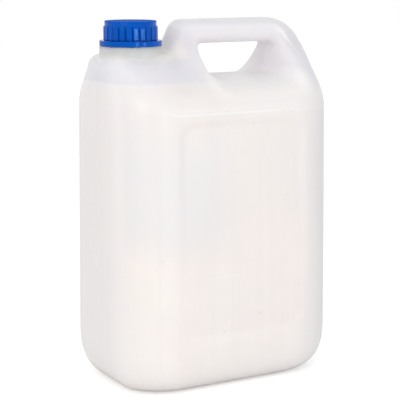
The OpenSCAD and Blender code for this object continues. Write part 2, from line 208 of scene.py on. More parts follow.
@dataclass(frozen=True)
class JugForm:
    """Outer form of the jug in millimetres, one field for each of its sizes.

    The zones are widths of finer mesh: lip_zone round the finger hole, edge_zone
    along the outline, and leave_zone where the columns leave the hole. None of
    them takes more than zone_share of a column.
    """

    length: float = 188.5
    depth: float = 126
    height: float = 287
    shoulder: float = 229
    taper: float = 0.012
    swell: float = 3.5
    foot_round: float = 40
    foot_in_x: float = 23.5
    foot_in_y: float = 25
    shoulder_round: float = 10
    end_lean: float = 6.5
    neck_lean: float = 1
    handle_depth: float = 34
    bar_height: float = 19
    hole_width: float = 70.5
    hole_height: float = 25.5
    leg_width: float = 29
    riser_width: float = 22.5
    riser_gap: float = 6
    riser_lean: float = 9
    riser_foot_round: float = 6
    riser_round: float = 12
    leg_round: float = 34
    hole_top_round: float = 5
    hole_low_round: float = 11
    lip_side: float = 9
    lip_low: float = 14
    neck_inset: float = 29.5
    deck_drop: float = 25.5
    deck_round: float = 12
    ring_radius: float = 24.2
    end_flat: float = 0.4
    bar_flat: float = 0.25
    deck_flat: float = 0.72
    hole_flat: float = 0.25
    corner_share: float = 0.61
    foot_power: float = 2.5
    deck_blend: float = 13
    panel_half: float = 57
    panel_low: float = 42
    panel_top: float = 214
    panel_round: float = 16
    panel_edge: float = 4.5
    panel_drop: float = 1.0
    inset: float = 0.05
    lip_zone: float = 13
    edge_zone: float = 34
    leave_zone: float = 27
    zone_share: float = 0.45
    rim_pull: float = 0.6
    curve_points: int = 73
    fineness: int = 3

    @property
    def side_steps(self) -> list[int]:
        """Steps along the parts of the upper outline."""
        return [n * self.fineness for n in (7, 4, 6, 3, 3, 4, 8, 8, 4)]

    @property
    def deck_z(self) -> float:
        """Height of the deck that carries the neck."""
        return self.height - self.deck_drop

    @property
    def hole_top_z(self) -> float:
        """Height of the top of the finger hole."""
        return self.height - self.bar_height

    @property
    def hole_low_z(self) -> float:
        """Height of the floor of the finger hole."""
        return self.hole_top_z - self.hole_height

    @property
    def seam_z(self) -> float:
        """Height at which level sections give way to the upper sheets."""
        return min(self.shoulder - self.shoulder_round, self.hole_low_z - self.lip_low)

    @property
    def seam_x(self) -> float:
        """Distance of the ends from the middle at the seam."""
        return self.length / 2 * self.taper_at(self.seam_z)

    @property
    def end_slope(self) -> float:
        """Lean of the far end above the seam."""
        return self.end_lean / (self.height - self.seam_z)

    @property
    def neck_slope(self) -> float:
        """Lean of the neck's end above the seam."""
        return self.neck_lean / (self.deck_z - self.seam_z)

    @property
    def neck_x(self) -> float:
        """Place of the neck's axis along the jug."""
        return self.neck_inset - self.seam_x

    @property
    def riser_x(self) -> float:
        """Place of the riser's near side."""
        return self.neck_x + self.ring_radius + self.riser_gap

    @property
    def hole_x(self) -> Pair:
        """Places of the two sides of the finger hole.

        Returns:
            The side by the riser and the side by the leg.
        """
        leg_x = self.seam_x - self.end_slope * (self.hole_top_z - self.seam_z)
        fit = (leg_x - self.riser_x) / (self.riser_width + self.hole_width + self.leg_width)
        return self.riser_x + self.riser_width * fit, leg_x - self.leg_width * fit

    def taper_at(self, z: Values) -> Values:
        """Factor by which the full jug is broader low down than high up."""
        return 1 + self.taper * (self.shoulder / 2 - z) / (self.shoulder / 2)

    def foot_share(self, z: Values) -> Values:
        """Share by which the foot is drawn in at a height."""
        k = 1 - np.clip(z / self.foot_round, 0, 1)
        return 1 - (1 - k ** self.foot_power) ** (1 / self.foot_power)

    def end_x(self, z: Values, slope: float) -> Values:
        """Finds how far an end lies from the middle.

        Args:
            z: Height.
            slope: Lean of the end above the seam.

        Returns:
            The distance along the jug.
        """
        return (self.length / 2 * self.taper_at(np.minimum(z, self.seam_z))
                - self.foot_in_x * self.foot_share(z - self.inset)
                - slope * np.maximum(z - self.seam_z, 0) - self.inset)

    def half_depth(self, z: Values) -> Values:
        """Finds half the depth of the main form.

        Args:
            z: Height.

        Returns:
            Half the depth at that height, before the rounding of the ends.
        """
        flank = (self.depth / 2 * self.taper_at(np.minimum(z, self.shoulder))
                 - self.foot_in_y * self.foot_share(z - self.inset))
        slope = (self.depth - self.handle_depth) / 2 / (self.hole_top_z - self.shoulder)
        roof = self.depth / 2 * self.taper_at(self.shoulder) - slope * (z - self.shoulder)
        reach = self.shoulder_round
        return soft_max(self.handle_depth / 2, soft_min(flank, roof, reach), reach) - self.inset

    def flat_share(self, x: Values, z: Values) -> Values:
        """Finds how much of the depth stays flat at the ends, sides and top.

        Args:
            x, z: Place along the jug and height.

        Returns:
            The share, 1 where nothing is rounded.
        """
        rise = ramp((z - self.shoulder) / (self.hole_top_z - self.shoulder))
        deck = (ramp((self.riser_x - x) / self.deck_blend)
                * ramp((z - self.deck_z) / self.deck_blend + 1))
        return between(between(self.end_flat, self.bar_flat, rise), self.deck_flat, deck)

    def corner_reach(self, z: Values) -> Values:
        """Reach of the plan corners along the jug at a height."""
        return self.corner_share * (
            self.half_depth(z) + self.foot_in_y * self.foot_share(z - self.inset))

    def panel(self, x: Values, z: Values) -> Values:
        """Finds the depth of the shallow label panel pressed into the broad faces.

        Args:
            x, z: Place along the jug and height.

        Returns:
            The depth there, 0 outside the panel.
        """
        mid, half = (self.panel_low + self.panel_top) / 2, (self.panel_top - self.panel_low) / 2
        across = np.maximum(np.abs(x) - self.panel_half + self.panel_round, 0)
        up = np.maximum(np.abs(z - mid) - half + self.panel_round, 0)
        past = np.hypot(across, up) - self.panel_round
        return self.panel_drop * ramp(-past / self.panel_edge)

    def flank_y(self, x: Values, z: Values) -> Values:
        """Finds half the depth beside and below the seam.

        Args:
            x, z: Place along the jug and height.

        Returns:
            Half the depth there, with the swell and the panel.
        """
        half, end, flat = self.half_depth(z), self.end_x(z, 0), self.flat_share(x, z)
        bulge = (self.swell * (1 - (x / end) ** 2)
                 * np.sin(math.pi * np.minimum(z / self.seam_z, 1)))
        corner = quarter((end - np.abs(x)) / self.corner_reach(z))
        return half * (flat + (1 - flat) * corner) + bulge - self.panel(x, z)

    def outline(self) -> np.ndarray:
        """Draws the upper outline at the middle plane.

        Returns:
            Its points, from the neck's end over to the far end.
        """
        n, w = self.side_steps, self.inset
        start = np.array([w - self.seam_x, self.seam_z])
        stop = np.array([self.seam_x - w, self.seam_z])
        foot_x = self.riser_x - self.riser_lean * (self.hole_top_z - self.deck_z) / self.bar_height
        plain = [np.array(p, float) for p in (
            (-self.seam_x - self.neck_slope, self.seam_z - 1, 0),
            (self.neck_lean - self.seam_x, self.deck_z, self.deck_round),
            (foot_x, self.deck_z, self.riser_foot_round),
            (self.riser_x + self.riser_lean, self.height, self.riser_round),
            (self.seam_x - self.end_lean, self.height, self.leg_round),
            (self.seam_x + self.end_slope, self.seam_z - 1, 0))]
        c = [moved_corner(plain[i - 1], plain[i], plain[i + 1], w, turn)
             for i, turn in ((1, 1), (2, -1), (3, 1), (4, 1))]
        deck = corner_arc(start, c[0], c[1], n[1])
        inner = corner_arc(c[0], c[1], c[2], n[3])
        riser = corner_arc(c[1], c[2], c[3], n[5])
        leg = corner_arc(c[2], c[3], stop, n[7])
        return np.array([
            start, *straight(start, deck[0], n[0]), *deck, *straight(deck[-1], inner[0], n[2]),
            *inner, *straight(inner[-1], riser[0], n[4]), *riser,
            *straight(riser[-1], leg[0], n[6]), *leg, *straight(leg[-1], stop, n[8]), stop])

    def hole_outline(self) -> np.ndarray:
        """Draws the finger hole at the middle plane.

        Returns:
            Its points, from its lower corner by the neck and round.
        """
        n, h = self.side_steps, 4 * self.fineness
        corner, face = 6 * self.fineness, 12 * self.fineness
        wall = n[0] + n[1] // 2 - h + n[3] + n[4]
        floor = face + corner - n[1] // 2 - n[2] - h
        left, right = self.hole_x
        plain = [np.array(p, float) for p in (
            (left, self.hole_low_z, self.hole_low_round), (left, self.hole_top_z, self.hole_top_round),
            (right, self.hole_top_z, self.hole_top_round), (right, self.hole_low_z, self.hole_low_round))]
        c = [moved_corner(plain[i - 1], plain[i], plain[(i + 1) % 4], -self.inset, 1) for i in range(4)]
        low_left = corner_arc(c[3], c[0], c[1], 2 * h)
        top_left = corner_arc(c[0], c[1], c[2], n[5])
        top_right = corner_arc(c[1], c[2], c[3], n[7])
        low_right = corner_arc(c[2], c[3], c[0], corner)
        return np.array([
            *low_left[h:], *straight(low_left[-1], top_left[0], wall), *top_left,
            *straight(top_left[-1], top_right[0], n[6]), *top_right,
            *straight(top_right[-1], low_right[0], n[8]), *low_right,
            *straight(low_right[-1], low_left[0], floor), *low_left[:h]])

    def upper_y(self, p: np.ndarray, edge: np.ndarray, hole: np.ndarray) -> np.ndarray:
        """Finds half the depth of the upper jug.

        Args:
            p: Places in the middle plane, with x and z on the last axis.
            edge: The upper outline.
            hole: The finger hole's outline.

        Returns:
            One half depth for each place.
        """
        a, b, c, d = np.cumsum(self.side_steps)[:4]
        half, flat = self.half_depth(p[..., 1]), self.flat_share(p[..., 0], p[..., 1])
        rounding = self.corner_share * half
        share = np.minimum(
            np.minimum(run_distance(p, edge[:b + 1]) / rounding,
                       run_distance(p, edge[a:d + 1]) / self.deck_round),
            run_distance(p, edge[c:]) / rounding)
        level = self.hole_low_z + self.hole_low_round

        def even(q: np.ndarray) -> np.ndarray:
            """Evens out the deeper lip below the hole."""
            low = level + (q[..., 1] - level) * self.lip_side / self.lip_low
            return np.stack([q[..., 0], np.where(q[..., 1] < level, low, q[..., 1])], -1)

        lip_share = run_distance(even(p), even(np.vstack([hole, hole[:1]]))) / self.lip_side
        lip = self.hole_flat + (1 - self.hole_flat) * quarter(lip_share)
        return half * (flat + (1 - flat) * quarter(share)) * lip

    def face_places(self, z: float) -> np.ndarray:
        """Spreads places along the jug across a broad face.

        Args:
            z: Height.

        Returns:
            The places, closer together towards the ends.
        """
        near, far = float(self.end_x(z, self.neck_slope)), float(self.end_x(z, self.end_slope))
        reach, steps, face = float(self.corner_reach(z)), 6 * self.fineness, 12 * self.fineness
        inset = reach * (1 - np.cos(np.pi / 2 * np.arange(steps + 1) / steps))
        middle = np.linspace(reach - near, far - reach, face + 1)[1:-1]
        return np.concatenate([inset - near, middle, far - inset[::-1]])

    def lower_sheet(self) -> np.ndarray:
        """Makes the level sections of the front half.

        Returns:
            Rows of places, from the floor to the seam.
        """
        foot, flank, w = 7 * self.fineness, 20 * self.fineness, self.inset
        low = w + self.foot_round * (1 - np.cos(np.pi / 2 * np.arange(foot + 1) / foot))
        heights = [*low, *np.linspace(w + self.foot_round, self.seam_z, flank + 1)[1:]]
        rows = []
        for z in heights:
            x = self.face_places(z)
            front = np.column_stack([x, -self.flank_y(x, z), np.full(len(x), z)])
            rows.append(np.vstack([front[0] * [1, 0, 1], front[0] * [1, 0.5, 1], front,
                                   front[-1] * [1, 0.5, 1], front[-1] * [1, 0, 1]]))
        return np.array(rows)

    def patch(self, low: np.ndarray, high: np.ndarray, near: np.ndarray, far: np.ndarray) -> np.ndarray:
        """Fills the space between four sides.

        Args:
            low, high: Sides that run along.
            near, far: Sides that run up.

        Returns:
            Rows of places from low to high.
        """
        u = np.linspace(0, 1, len(low))[None, :, None]
        v = np.linspace(0, 1, len(near))[:, None, None]
        fill = (between(near[:, None], far[:, None], u) + between(low[None], high[None], v)
                - between(between(low[0], low[-1], u), between(high[0], high[-1], u), v))
        fill[0], fill[-1], fill[:, 0], fill[:, -1] = low, high, near, far
        return fill

    def columns(self, hole: np.ndarray, rim: np.ndarray, on_seam: int) -> np.ndarray:
        """Runs curved columns of places from the finger hole out to its rim.

        Args:
            hole: Points of the finger hole.
            rim: As many points round it, on the riser line, the outline and the seam.
            on_seam: Number of the first rim point on the seam.

        Returns:
            Rows of places, from the hole outwards.
        """
        n = self.side_steps
        riser, count, runs = n[0] + n[1] // 2, len(rim), []
        for i in range(count):
            out = abs(rim[i][0] / self.seam_x) ** 4
            square = right_of(rim[i - 1], rim[(i + 1) % count])
            if i >= on_seam:
                pull = np.array([0, between(1, self.rim_pull, out)])
            elif abs(i - riser) < n[3]:
                pull = np.zeros(2)
            elif i < riser:
                pull = between(np.array([0, 1]), square, ramp(2.5 * i / riser))
            else:
                pull = between(np.array([0, self.rim_pull]), square,
                               ramp((rim[i][1] - self.seam_z) / self.edge_zone))
            crowd = out * out if i >= on_seam else 0 if i < riser else 1
            leave = -right_of(hole[i - 1], hole[(i + 1) % count])
            runs.append(self.column(hole[i], leave, rim[i], pull, crowd))
        return np.array(runs).transpose(1, 0, 2)

    def column(self, a: np.ndarray, leave: np.ndarray, b: np.ndarray, pull: np.ndarray,
               crowd: float) -> np.ndarray:
        """Places one column of points.

        Args:
            a, b: Its ends, on the finger hole and on the rim.
            leave: Direction in which it leaves the hole.
            pull: Direction that bends its far end.
            crowd: How far its last rows crowd towards the rim, from 0 to 1.

        Returns:
            The points of the column.
        """
        reach = np.linalg.norm(b - a)
        c = a + leave * min(reach, self.leave_zone) / 3
        d = b + unit(unit(a - b) + pull) * reach / 3
        t = np.linspace(0, 1, self.curve_points)[:, None]
        k = 1 - t
        run = a * k ** 3 + 3 * c * k * k * t + 3 * d * k * t * t + b * t ** 3
        along = np.concatenate([[0], np.cumsum(np.linalg.norm(np.diff(run, axis=0), axis=1))])
        near = min(self.lip_zone / along[-1], self.zone_share)
        far = min(self.edge_zone / along[-1], self.zone_share)
        lip, mid, rim = 4 * self.fineness, 4 * self.fineness, 5 * self.fineness
        back = np.arange(rim, -1, -1) / rim
        shares = np.concatenate([
            near * (1 - np.cos(np.pi / 2 * np.arange(lip + 1) / lip)),
            np.linspace(near, 1 - far, mid + 1)[1:-1],
            1 - far * between(back, 1 - np.cos(np.pi / 2 * back), crowd)]) * along[-1]
        return np.column_stack([np.interp(shares, along, run[:, i]) for i in (0, 1)])

    def front_sheets(self) -> list[np.ndarray]:
        """Covers the front half, up to the middle plane.

        Returns:
            Sheets of places, each a grid of rows.
        """
        edge, hole, n = self.outline(), self.hole_outline(), self.side_steps
        places = self.face_places(self.seam_z)
        seam = np.column_stack([places, np.full(len(places), self.seam_z)])
        neck_n, riser_n, foot, far = n[1] // 2 + n[2], n[0] + n[1] // 2, sum(n[:3]), len(seam) - 1
        riser = np.array([seam[neck_n], *straight(seam[neck_n], edge[foot], riser_n), edge[foot]])
        neck = self.patch(seam[:neck_n + 1], edge[riser_n:foot + 1], edge[:riser_n + 1], riser)
        rim = np.vstack([riser, edge[foot + 1:], seam[neck_n + 1:far][::-1]])
        out = self.columns(hole, rim, len(rim) - (far - neck_n - 1))
        out = np.concatenate([out, out[:, :1]], axis=1)

        def deep(plane: np.ndarray) -> np.ndarray:
            """Gives places in the middle plane their depth.

            Args:
                plane: Places with x and z on the last axis.

            Returns:
                The same places on the front of the jug.
            """
            x, z = plane[..., 0], plane[..., 1]
            upper = self.upper_y(plane, edge, hole)
            half = np.where(z > self.seam_z + 1e-9, upper, self.flank_y(x, np.minimum(z, self.seam_z)))
            return np.stack([x, -half, z], -1)

        def to_middle(row: np.ndarray) -> np.ndarray:
            """Adds the level band from a row to the middle plane."""
            return np.array([row, row * [1, 0.5, 1], row * [1, 0, 1]])

        hole_sheet = deep(out)
        return [self.lower_sheet(), deep(neck), hole_sheet, to_middle(deep(edge)),
                to_middle(hole_sheet[0])]


# Mesh work


def lay_sheet(bm: bmesh.types.BMesh, points: np.ndarray) -> None:
    """Adds a grid and moves its points to their places.

    Args:
        bm: Mesh to add to.
        points: Rows of places in millimetres.
    """
    rows, along = points.shape[:2]
    made = bmesh.ops.create_grid(bm, x_segments=along - 1, y_segments=rows - 1, size=1)
    for vert, place in zip(made["verts"], points.reshape(-1, 3)):
        vert.co = place * MM


def turn(bm: bmesh.types.BMesh, profile: Sequence[Pair], steps: int, x: float = 0,
         closed: bool = True) -> None:
    """Turns a profile round an upright axis.

    Args:
        bm: Mesh to add to.
        profile: Corners as radius and height in millimetres.
        steps: Number of steps round.
        x: Place of the axis along the jug.
        closed: Whether the last corner joins the first one.
    """
    verts = [bm.verts.new(((x + r) * MM, 0, z * MM)) for r, z in profile]
    nexts = verts[1:] + (verts[:1] if closed and profile[0][0] + profile[-1][0] > 0 else [])
    edges = [bm.edges.new(pair) for pair in zip(verts, nexts)]
    bmesh.ops.spin(bm, geom=verts + edges, cent=(x * MM, 0, 0), axis=(0, 0, 1), dvec=(0, 0, 0),
                   angle=2 * math.pi, steps=steps, use_merge=True)
    bmesh.ops.remove_doubles(bm, verts=bm.verts, dist=WELD)
    bmesh.ops.recalc_face_normals(bm, faces=bm.faces)


def soften(bm: bmesh.types.BMesh, width: float, segments: int = 3, angle: float = 30,
           verts: Sequence[bmesh.types.BMVert] | None = None) -> None:
    """Rounds the sharp edges of a mesh.

    Args:
        bm: Mesh to round.
        width: Width of the rounding in millimetres.
        segments: Steps across it.
        angle: Least angle between two faces that counts as sharp, in degrees.
        verts: Vertices to stay among; all of them if left out.
    """
    edges = {e for v in verts or bm.verts for e in v.link_edges}
    sharp = [e for e in sorted(edges, key=lambda e: e.index)
             if e.is_manifold and e.calc_face_angle(0) > math.radians(angle)]
    bmesh.ops.bevel(bm, geom=sharp, offset=width * MM, offset_type="OFFSET", affect="EDGES",
                    segments=segments, profile=0.5, material=-1, clamp_overlap=True)


def wind(bm: bmesh.types.BMesh, section: Sequence[Pair], root: float, low: float, pitch: float,
         turns: float, start: float, x: float) -> None:
    """Winds a screw thread round an upright axis, with ends that run out into the wall.

    Args:
        bm: Mesh to add to.
        section: Corners as radius and height about the thread's middle, in millimetres.
        root: Radius of the wall that the thread stands on.
        low: Height of its middle where it starts.
        pitch: Rise of one turn.
        turns: Number of turns.
        start: Angle at which it starts, in radians.
        x: Place of the axis along the jug.
    """
    steps = int(turns * TURN_STEPS)
    face = bm.faces.new([
        bm.verts.new(((x + r * math.cos(start)) * MM, r * math.sin(start) * MM, (low + z) * MM))
        for r, z in section])
    rings, inner = [list(face.verts)], []
    for _ in range(steps):
        made = bmesh.ops.spin(bm, geom=[face], cent=(x * MM, 0, 0), axis=(0, 0, 1),
                              dvec=(0, 0, pitch * turns / steps * MM),
                              angle=2 * math.pi * turns / steps, steps=1)
        face = next(g for g in made["geom_last"] if isinstance(g, bmesh.types.BMFace))
        rings.append(list(face.verts))
        inner.append(face)
    bmesh.ops.delete(bm, geom=inner[:-1], context="FACES_ONLY")
    axis = Vector((x * MM, 0))
    for number, ring in enumerate(rings):
        share = between(FADE_SHARE, 1, float(ramp(min(number, steps - number) / FADE_STEPS)))
        for vert in ring:
            out = vert.co.xy - axis
            vert.co.xy = axis + out * between(root * MM, out.length, share) / out.length


def shift(bm: bmesh.types.BMesh, x: float, y: float, z: float) -> None:
    """Moves a whole mesh by a distance in millimetres."""
    bmesh.ops.translate(bm, verts=bm.verts, vec=(x * MM, y * MM, z * MM))


def finished(bm: bmesh.types.BMesh, name: str, finish: bpy.types.Material, body: Body,
             sharp: float = 40) -> bpy.types.Object:
    """Makes a piece of a mesh, dresses it and lets it ride.

    Args:
        bm: The finished mesh.
        name: Name of the piece.
        finish: Its material.
        body: Body that it rides on.
        sharp: Angle above which an edge stays sharp, in degrees.

    Returns:
        The piece.
    """
    bmesh.ops.recalc_face_normals(bm, faces=bm.faces)
    mesh = bpy.data.meshes.new(name)
    bm.to_mesh(mesh)
    bm.free()
    mesh.polygons.foreach_set("use_smooth", [True] * len(mesh.polygons))
    mesh.set_sharp_from_angle(angle=math.radians(sharp))
    mesh.materials.append(finish)
    piece = bpy.data.objects.new(name, mesh)
    bpy.context.scene.collection.objects.link(piece)
    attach(piece, body.value)
    log.info("%s: %d faces on %s", name, len(mesh.polygons), body.value)
    return piece


# Finishes


class Graph:
    """Places and joins the nodes of one tree."""

    def __init__(self, tree: bpy.types.NodeTree) -> None:
        """Keeps the tree to work on."""
        self.tree = tree

    def add(self, kind: str, inputs: dict[Any, Any] | None = None, **settings: Any) -> bpy.types.Node:
        """Adds a node.

        Args:
            kind: Type of the node, without its ShaderNode prefix.
            inputs: Values or sockets by input name or number.
            **settings: Other properties of the node.

        Returns:
            The node.
        """
        node = self.tree.nodes.new(kind if kind.startswith("Node") else "ShaderNode" + kind)
        for key, value in settings.items():
            setattr(node, key, value)
        self.feed(node, inputs or {})
        return node

    def feed(self, node: bpy.types.Node, inputs: dict[Any, Any]) -> None:
        """Gives a node its inputs.

        Args:
            node: The node.
            inputs: Values or sockets by input name or number.
        """
        for key, value in inputs.items():
            if isinstance(value, Socket):
                self.tree.links.new(value, node.inputs[key])
            else:
                node.inputs[key].default_value = value

    def math(self, operation: str, *values: Any, clamp: bool = False) -> Socket:
        """Adds a sum on up to three values and gives its result."""
        node = self.add("Math", dict(enumerate(values)), operation=operation, use_clamp=clamp)
        return node.outputs[0]

    def span(self, value: Socket, low: Any, high: Any, to_low: Any = 0.0, to_high: Any = 1.0) -> Socket:
        """Adds a soft ramp of a value from one span to another.

        Args:
            value: The value.
            low, high: Ends of its span.
            to_low, to_high: Results at those ends.

        Returns:
            The result.
        """
        node = self.add("MapRange", {0: value, 1: low, 2: high, 3: to_low, 4: to_high},
                        interpolation_type="SMOOTHSTEP")
        return node.outputs[0]

    def zone(self, place: Socket, ends: Pair, to_low: float = 0.0, to_high: float = 1.0) -> Socket:
        """Adds a soft ramp of a place in metres between two ends in millimetres."""
        return self.span(place, ends[0] * MM, ends[1] * MM, to_low, to_high)

    def past(self, value: Socket, middle: float, half: float) -> Socket:
        """Adds how far a value lies outside a span about its middle, 0 inside it."""
        away = self.math("ABSOLUTE", self.math("SUBTRACT", value, middle))
        return self.math("MAXIMUM", self.math("SUBTRACT", away, half), 0.0)

    def hypot(self, a: Socket, b: Socket) -> Socket:
        """Adds the length of a way with two sides at right angles."""
        return self.math("SQRT", self.math("MULTIPLY_ADD", a, a, self.math("MULTIPLY", b, b)))

    def band(self, value: Socket, middle: float, half: float) -> Socket:
        """Adds a soft band, 1 at its middle and 0 outside it."""
        away = self.math("ABSOLUTE", self.math("SUBTRACT", value, middle))
        return self.span(away, 0.0, half, 1.0, 0.0)

    def noise(self, vector: Socket, scale: Any, detail: float = 2.0, rough: float = 0.5) -> Socket:
        """Adds a noise and gives its value."""
        return self.add("TexNoise", {"Vector": vector, "Scale": scale, "Detail": detail,
                                     "Roughness": rough}).outputs[0]

    def stretch(self, vector: Socket, scale: Sequence[float],
                turn_by: Sequence[float] = (0, 0, 0)) -> Socket:
        """Adds a mapping that stretches and turns a pattern."""
        return self.add("Mapping", {"Vector": vector, "Scale": scale, "Rotation": turn_by}).outputs[0]

    def blend(self, share: Any, a: Any, b: Any) -> Socket:
        """Adds a mix of two colours."""
        node = self.add("Mix", {0: share, 6: a, 7: b}, data_type="RGBA")
        return node.outputs[2]

    def place(self) -> Socket:
        """Adds the coordinates of the object itself."""
        return self.add("TexCoord").outputs["Object"]

    def axes(self, vector: Socket) -> list[Socket]:
        """Adds a split of a place into its three coordinates."""
        return list(self.add("SeparateXYZ", {0: vector}).outputs)

    def bump(self, height: Socket, distance: float, normal: Socket | None = None) -> Socket:
        """Adds a bump over a normal.

        Args:
            height: Height of the relief, as a share.
            distance: Depth of the relief in metres.
            normal: Normal to start from; the surface's own if left out.

        Returns:
            The new normal.
        """
        inputs: dict[Any, Any] = {"Height": height, "Distance": distance, "Strength": 1.0}
        if normal is not None:
            inputs["Normal"] = normal
        return self.add("Bump", inputs).outputs[0]

    def use(self, group: bpy.types.NodeTree, inputs: dict[str, Any]) -> bpy.types.Node:
        """Adds a node group with its own values."""
        return self.add("Group", inputs, node_tree=group)


def new_group(name: str, inputs: dict[str, Any], outputs: Sequence[str]) -> tuple[Graph, Any, Any]:
    """Starts a node group with named inputs and outputs.

    Args:
        name: Name of the group.
        inputs: Starting values by input name; None stands for a vector.
        outputs: Names of the outputs, all plain values.

    Returns:
        The graph, its input node and its output node.
    """
    tree = bpy.data.node_groups.new(name, "ShaderNodeTree")
    for key, value in inputs.items():
        kind = "NodeSocketVector" if value is None else "NodeSocketFloat"
        socket = tree.interface.new_socket(key, in_out="INPUT", socket_type=kind)
        if value is not None:
            socket.default_value = value
    for key in outputs:
        tree.interface.new_socket(key, in_out="OUTPUT", socket_type="NodeSocketFloat")
    graph = Graph(tree)
    return graph, graph.add("NodeGroupInput"), graph.add("NodeGroupOutput")


def moulded_grain() -> bpy.types.NodeTree:
    """Makes the group for the skin of moulded plastic.

    Returns:
        A group with a slow waviness, a fine orange peel and a tone that varies.
    """
    graph, given, result = new_group(
        "moulded_grain", {"Place": None, "Wave": 60.0, "Peel": 1500.0, "Peel Share": 0.25},
        ("Height", "Tone"))
    place = given.outputs["Place"]
    wave = graph.noise(place, given.outputs["Wave"], 2.0, 0.45)
    peel = graph.noise(place, given.outputs["Peel"], 2.0, 0.6)
    height = graph.math("MULTIPLY_ADD", peel, given.outputs["Peel Share"], wave)
    tone = graph.noise(place, graph.math("MULTIPLY", given.outputs["Wave"], 0.35), 3.0, 0.55)
    graph.feed(result, {"Height": height, "Tone": tone})
    return graph.tree


def streak() -> bpy.types.NodeTree:
    """Makes the group for one straight mark, such as a scuff or a pressed dash.

    Returns:
        A group with one mask, 1 along the middle of the mark.
    """
    graph, given, result = new_group(
        "streak", {"Across": 0.0, "Up": 0.0, "Lean": 0.0, "Length": 0.01, "Width": 0.001}, ("Mask",))
    across, up, lean = (given.outputs[key] for key in ("Across", "Up", "Lean"))
    cosine, sine = graph.math("COSINE", lean), graph.math("SINE", lean)
    along = graph.math("MULTIPLY_ADD", up, sine, graph.math("MULTIPLY", across, cosine))
    aside = graph.math("SUBTRACT", graph.math("MULTIPLY", up, cosine),
                       graph.math("MULTIPLY", across, sine))
    half = graph.math("MULTIPLY", given.outputs["Length"], 0.5)
    inner = graph.math("SUBTRACT", half, given.outputs["Width"])
    ends = graph.span(graph.math("ABSOLUTE", along), inner, half, 1.0, 0.0)
    sides = graph.span(graph.math("ABSOLUTE", aside), 0.0,
                       graph.math("MULTIPLY", given.outputs["Width"], 0.5), 1.0, 0.0)
    graph.feed(result, {"Mask": graph.math("MULTIPLY", ends, sides)})
    return graph.tree


def handling_marks() -> bpy.types.NodeTree:
    """Makes the group for scuffs, hairline scratches and specks of dust.

    Returns:
        A group with one mask for scratches and scuffs and one for specks.
    """
    graph, given, result = new_group(
        "handling_marks", {"Place": None, "Scratches": 0.5, "Specks": 0.5, "Size": 1.0},
        ("Scratches", "Specks"))
    place = graph.add("VectorMath", {0: given.outputs["Place"], 3: given.outputs["Size"]},
                      operation="SCALE").outputs[0]
    lines: Socket | None = None
    for turn_by, scale in (((0.3, 0.2, 0.7), 900.0), ((1.1, 0.5, -0.4), 700.0)):
        long = graph.stretch(place, (1.0, 0.035, 0.05), turn_by)
        line = graph.span(graph.noise(long, scale, 1.0, 0.4), 0.66, 0.74)
        lines = line if lines is None else graph.math("MAXIMUM", lines, line)
    patch = graph.span(graph.noise(place, 45.0, 2.0, 0.6), 0.5, 0.68)
    scratches = graph.math("MULTIPLY", graph.math("MULTIPLY", lines, patch),
                           given.outputs["Scratches"])
    dots = graph.add("TexVoronoi", {"Vector": place, "Scale": 150.0}).outputs["Distance"]
    rare = graph.span(graph.noise(place, 110.0, 1.0, 0.5), 0.6, 0.66)
    specks = graph.math("MULTIPLY", graph.math(
        "MULTIPLY", graph.span(dots, 0.05, 0.11, 1.0, 0.0), rare), given.outputs["Specks"])
    graph.feed(result, {"Scratches": scratches, "Specks": specks})
    return graph.tree


class Effects:
    """Node groups that several finishes share, each made once."""

    def __init__(self) -> None:
        """Makes the groups."""
        self.grain = moulded_grain()
        self.marks = handling_marks()
        self.streak = streak()


def new_finish(name: str) -> tuple[bpy.types.Material, Graph, bpy.types.Node]:
    """Starts a material with nothing but its shader and output.

    Args:
        name: Name of the material.

    Returns:
        The material, its graph and its shader node.
    """
    finish = bpy.data.materials.new(name)
    finish.use_nodes = True
    finish.node_tree.nodes.clear()
    graph = Graph(finish.node_tree)
    shader = graph.add("BsdfPrincipled")
    graph.add("OutputMaterial", {"Surface": shader.outputs[0]})
    return finish, graph, shader


@dataclass(frozen=True)
class Mark:
    """A straight mark on a face: place and size in millimetres, lean in degrees, strength."""

    across: float
    up: float
    lean: float
    length: float
    width: float
    strength: float


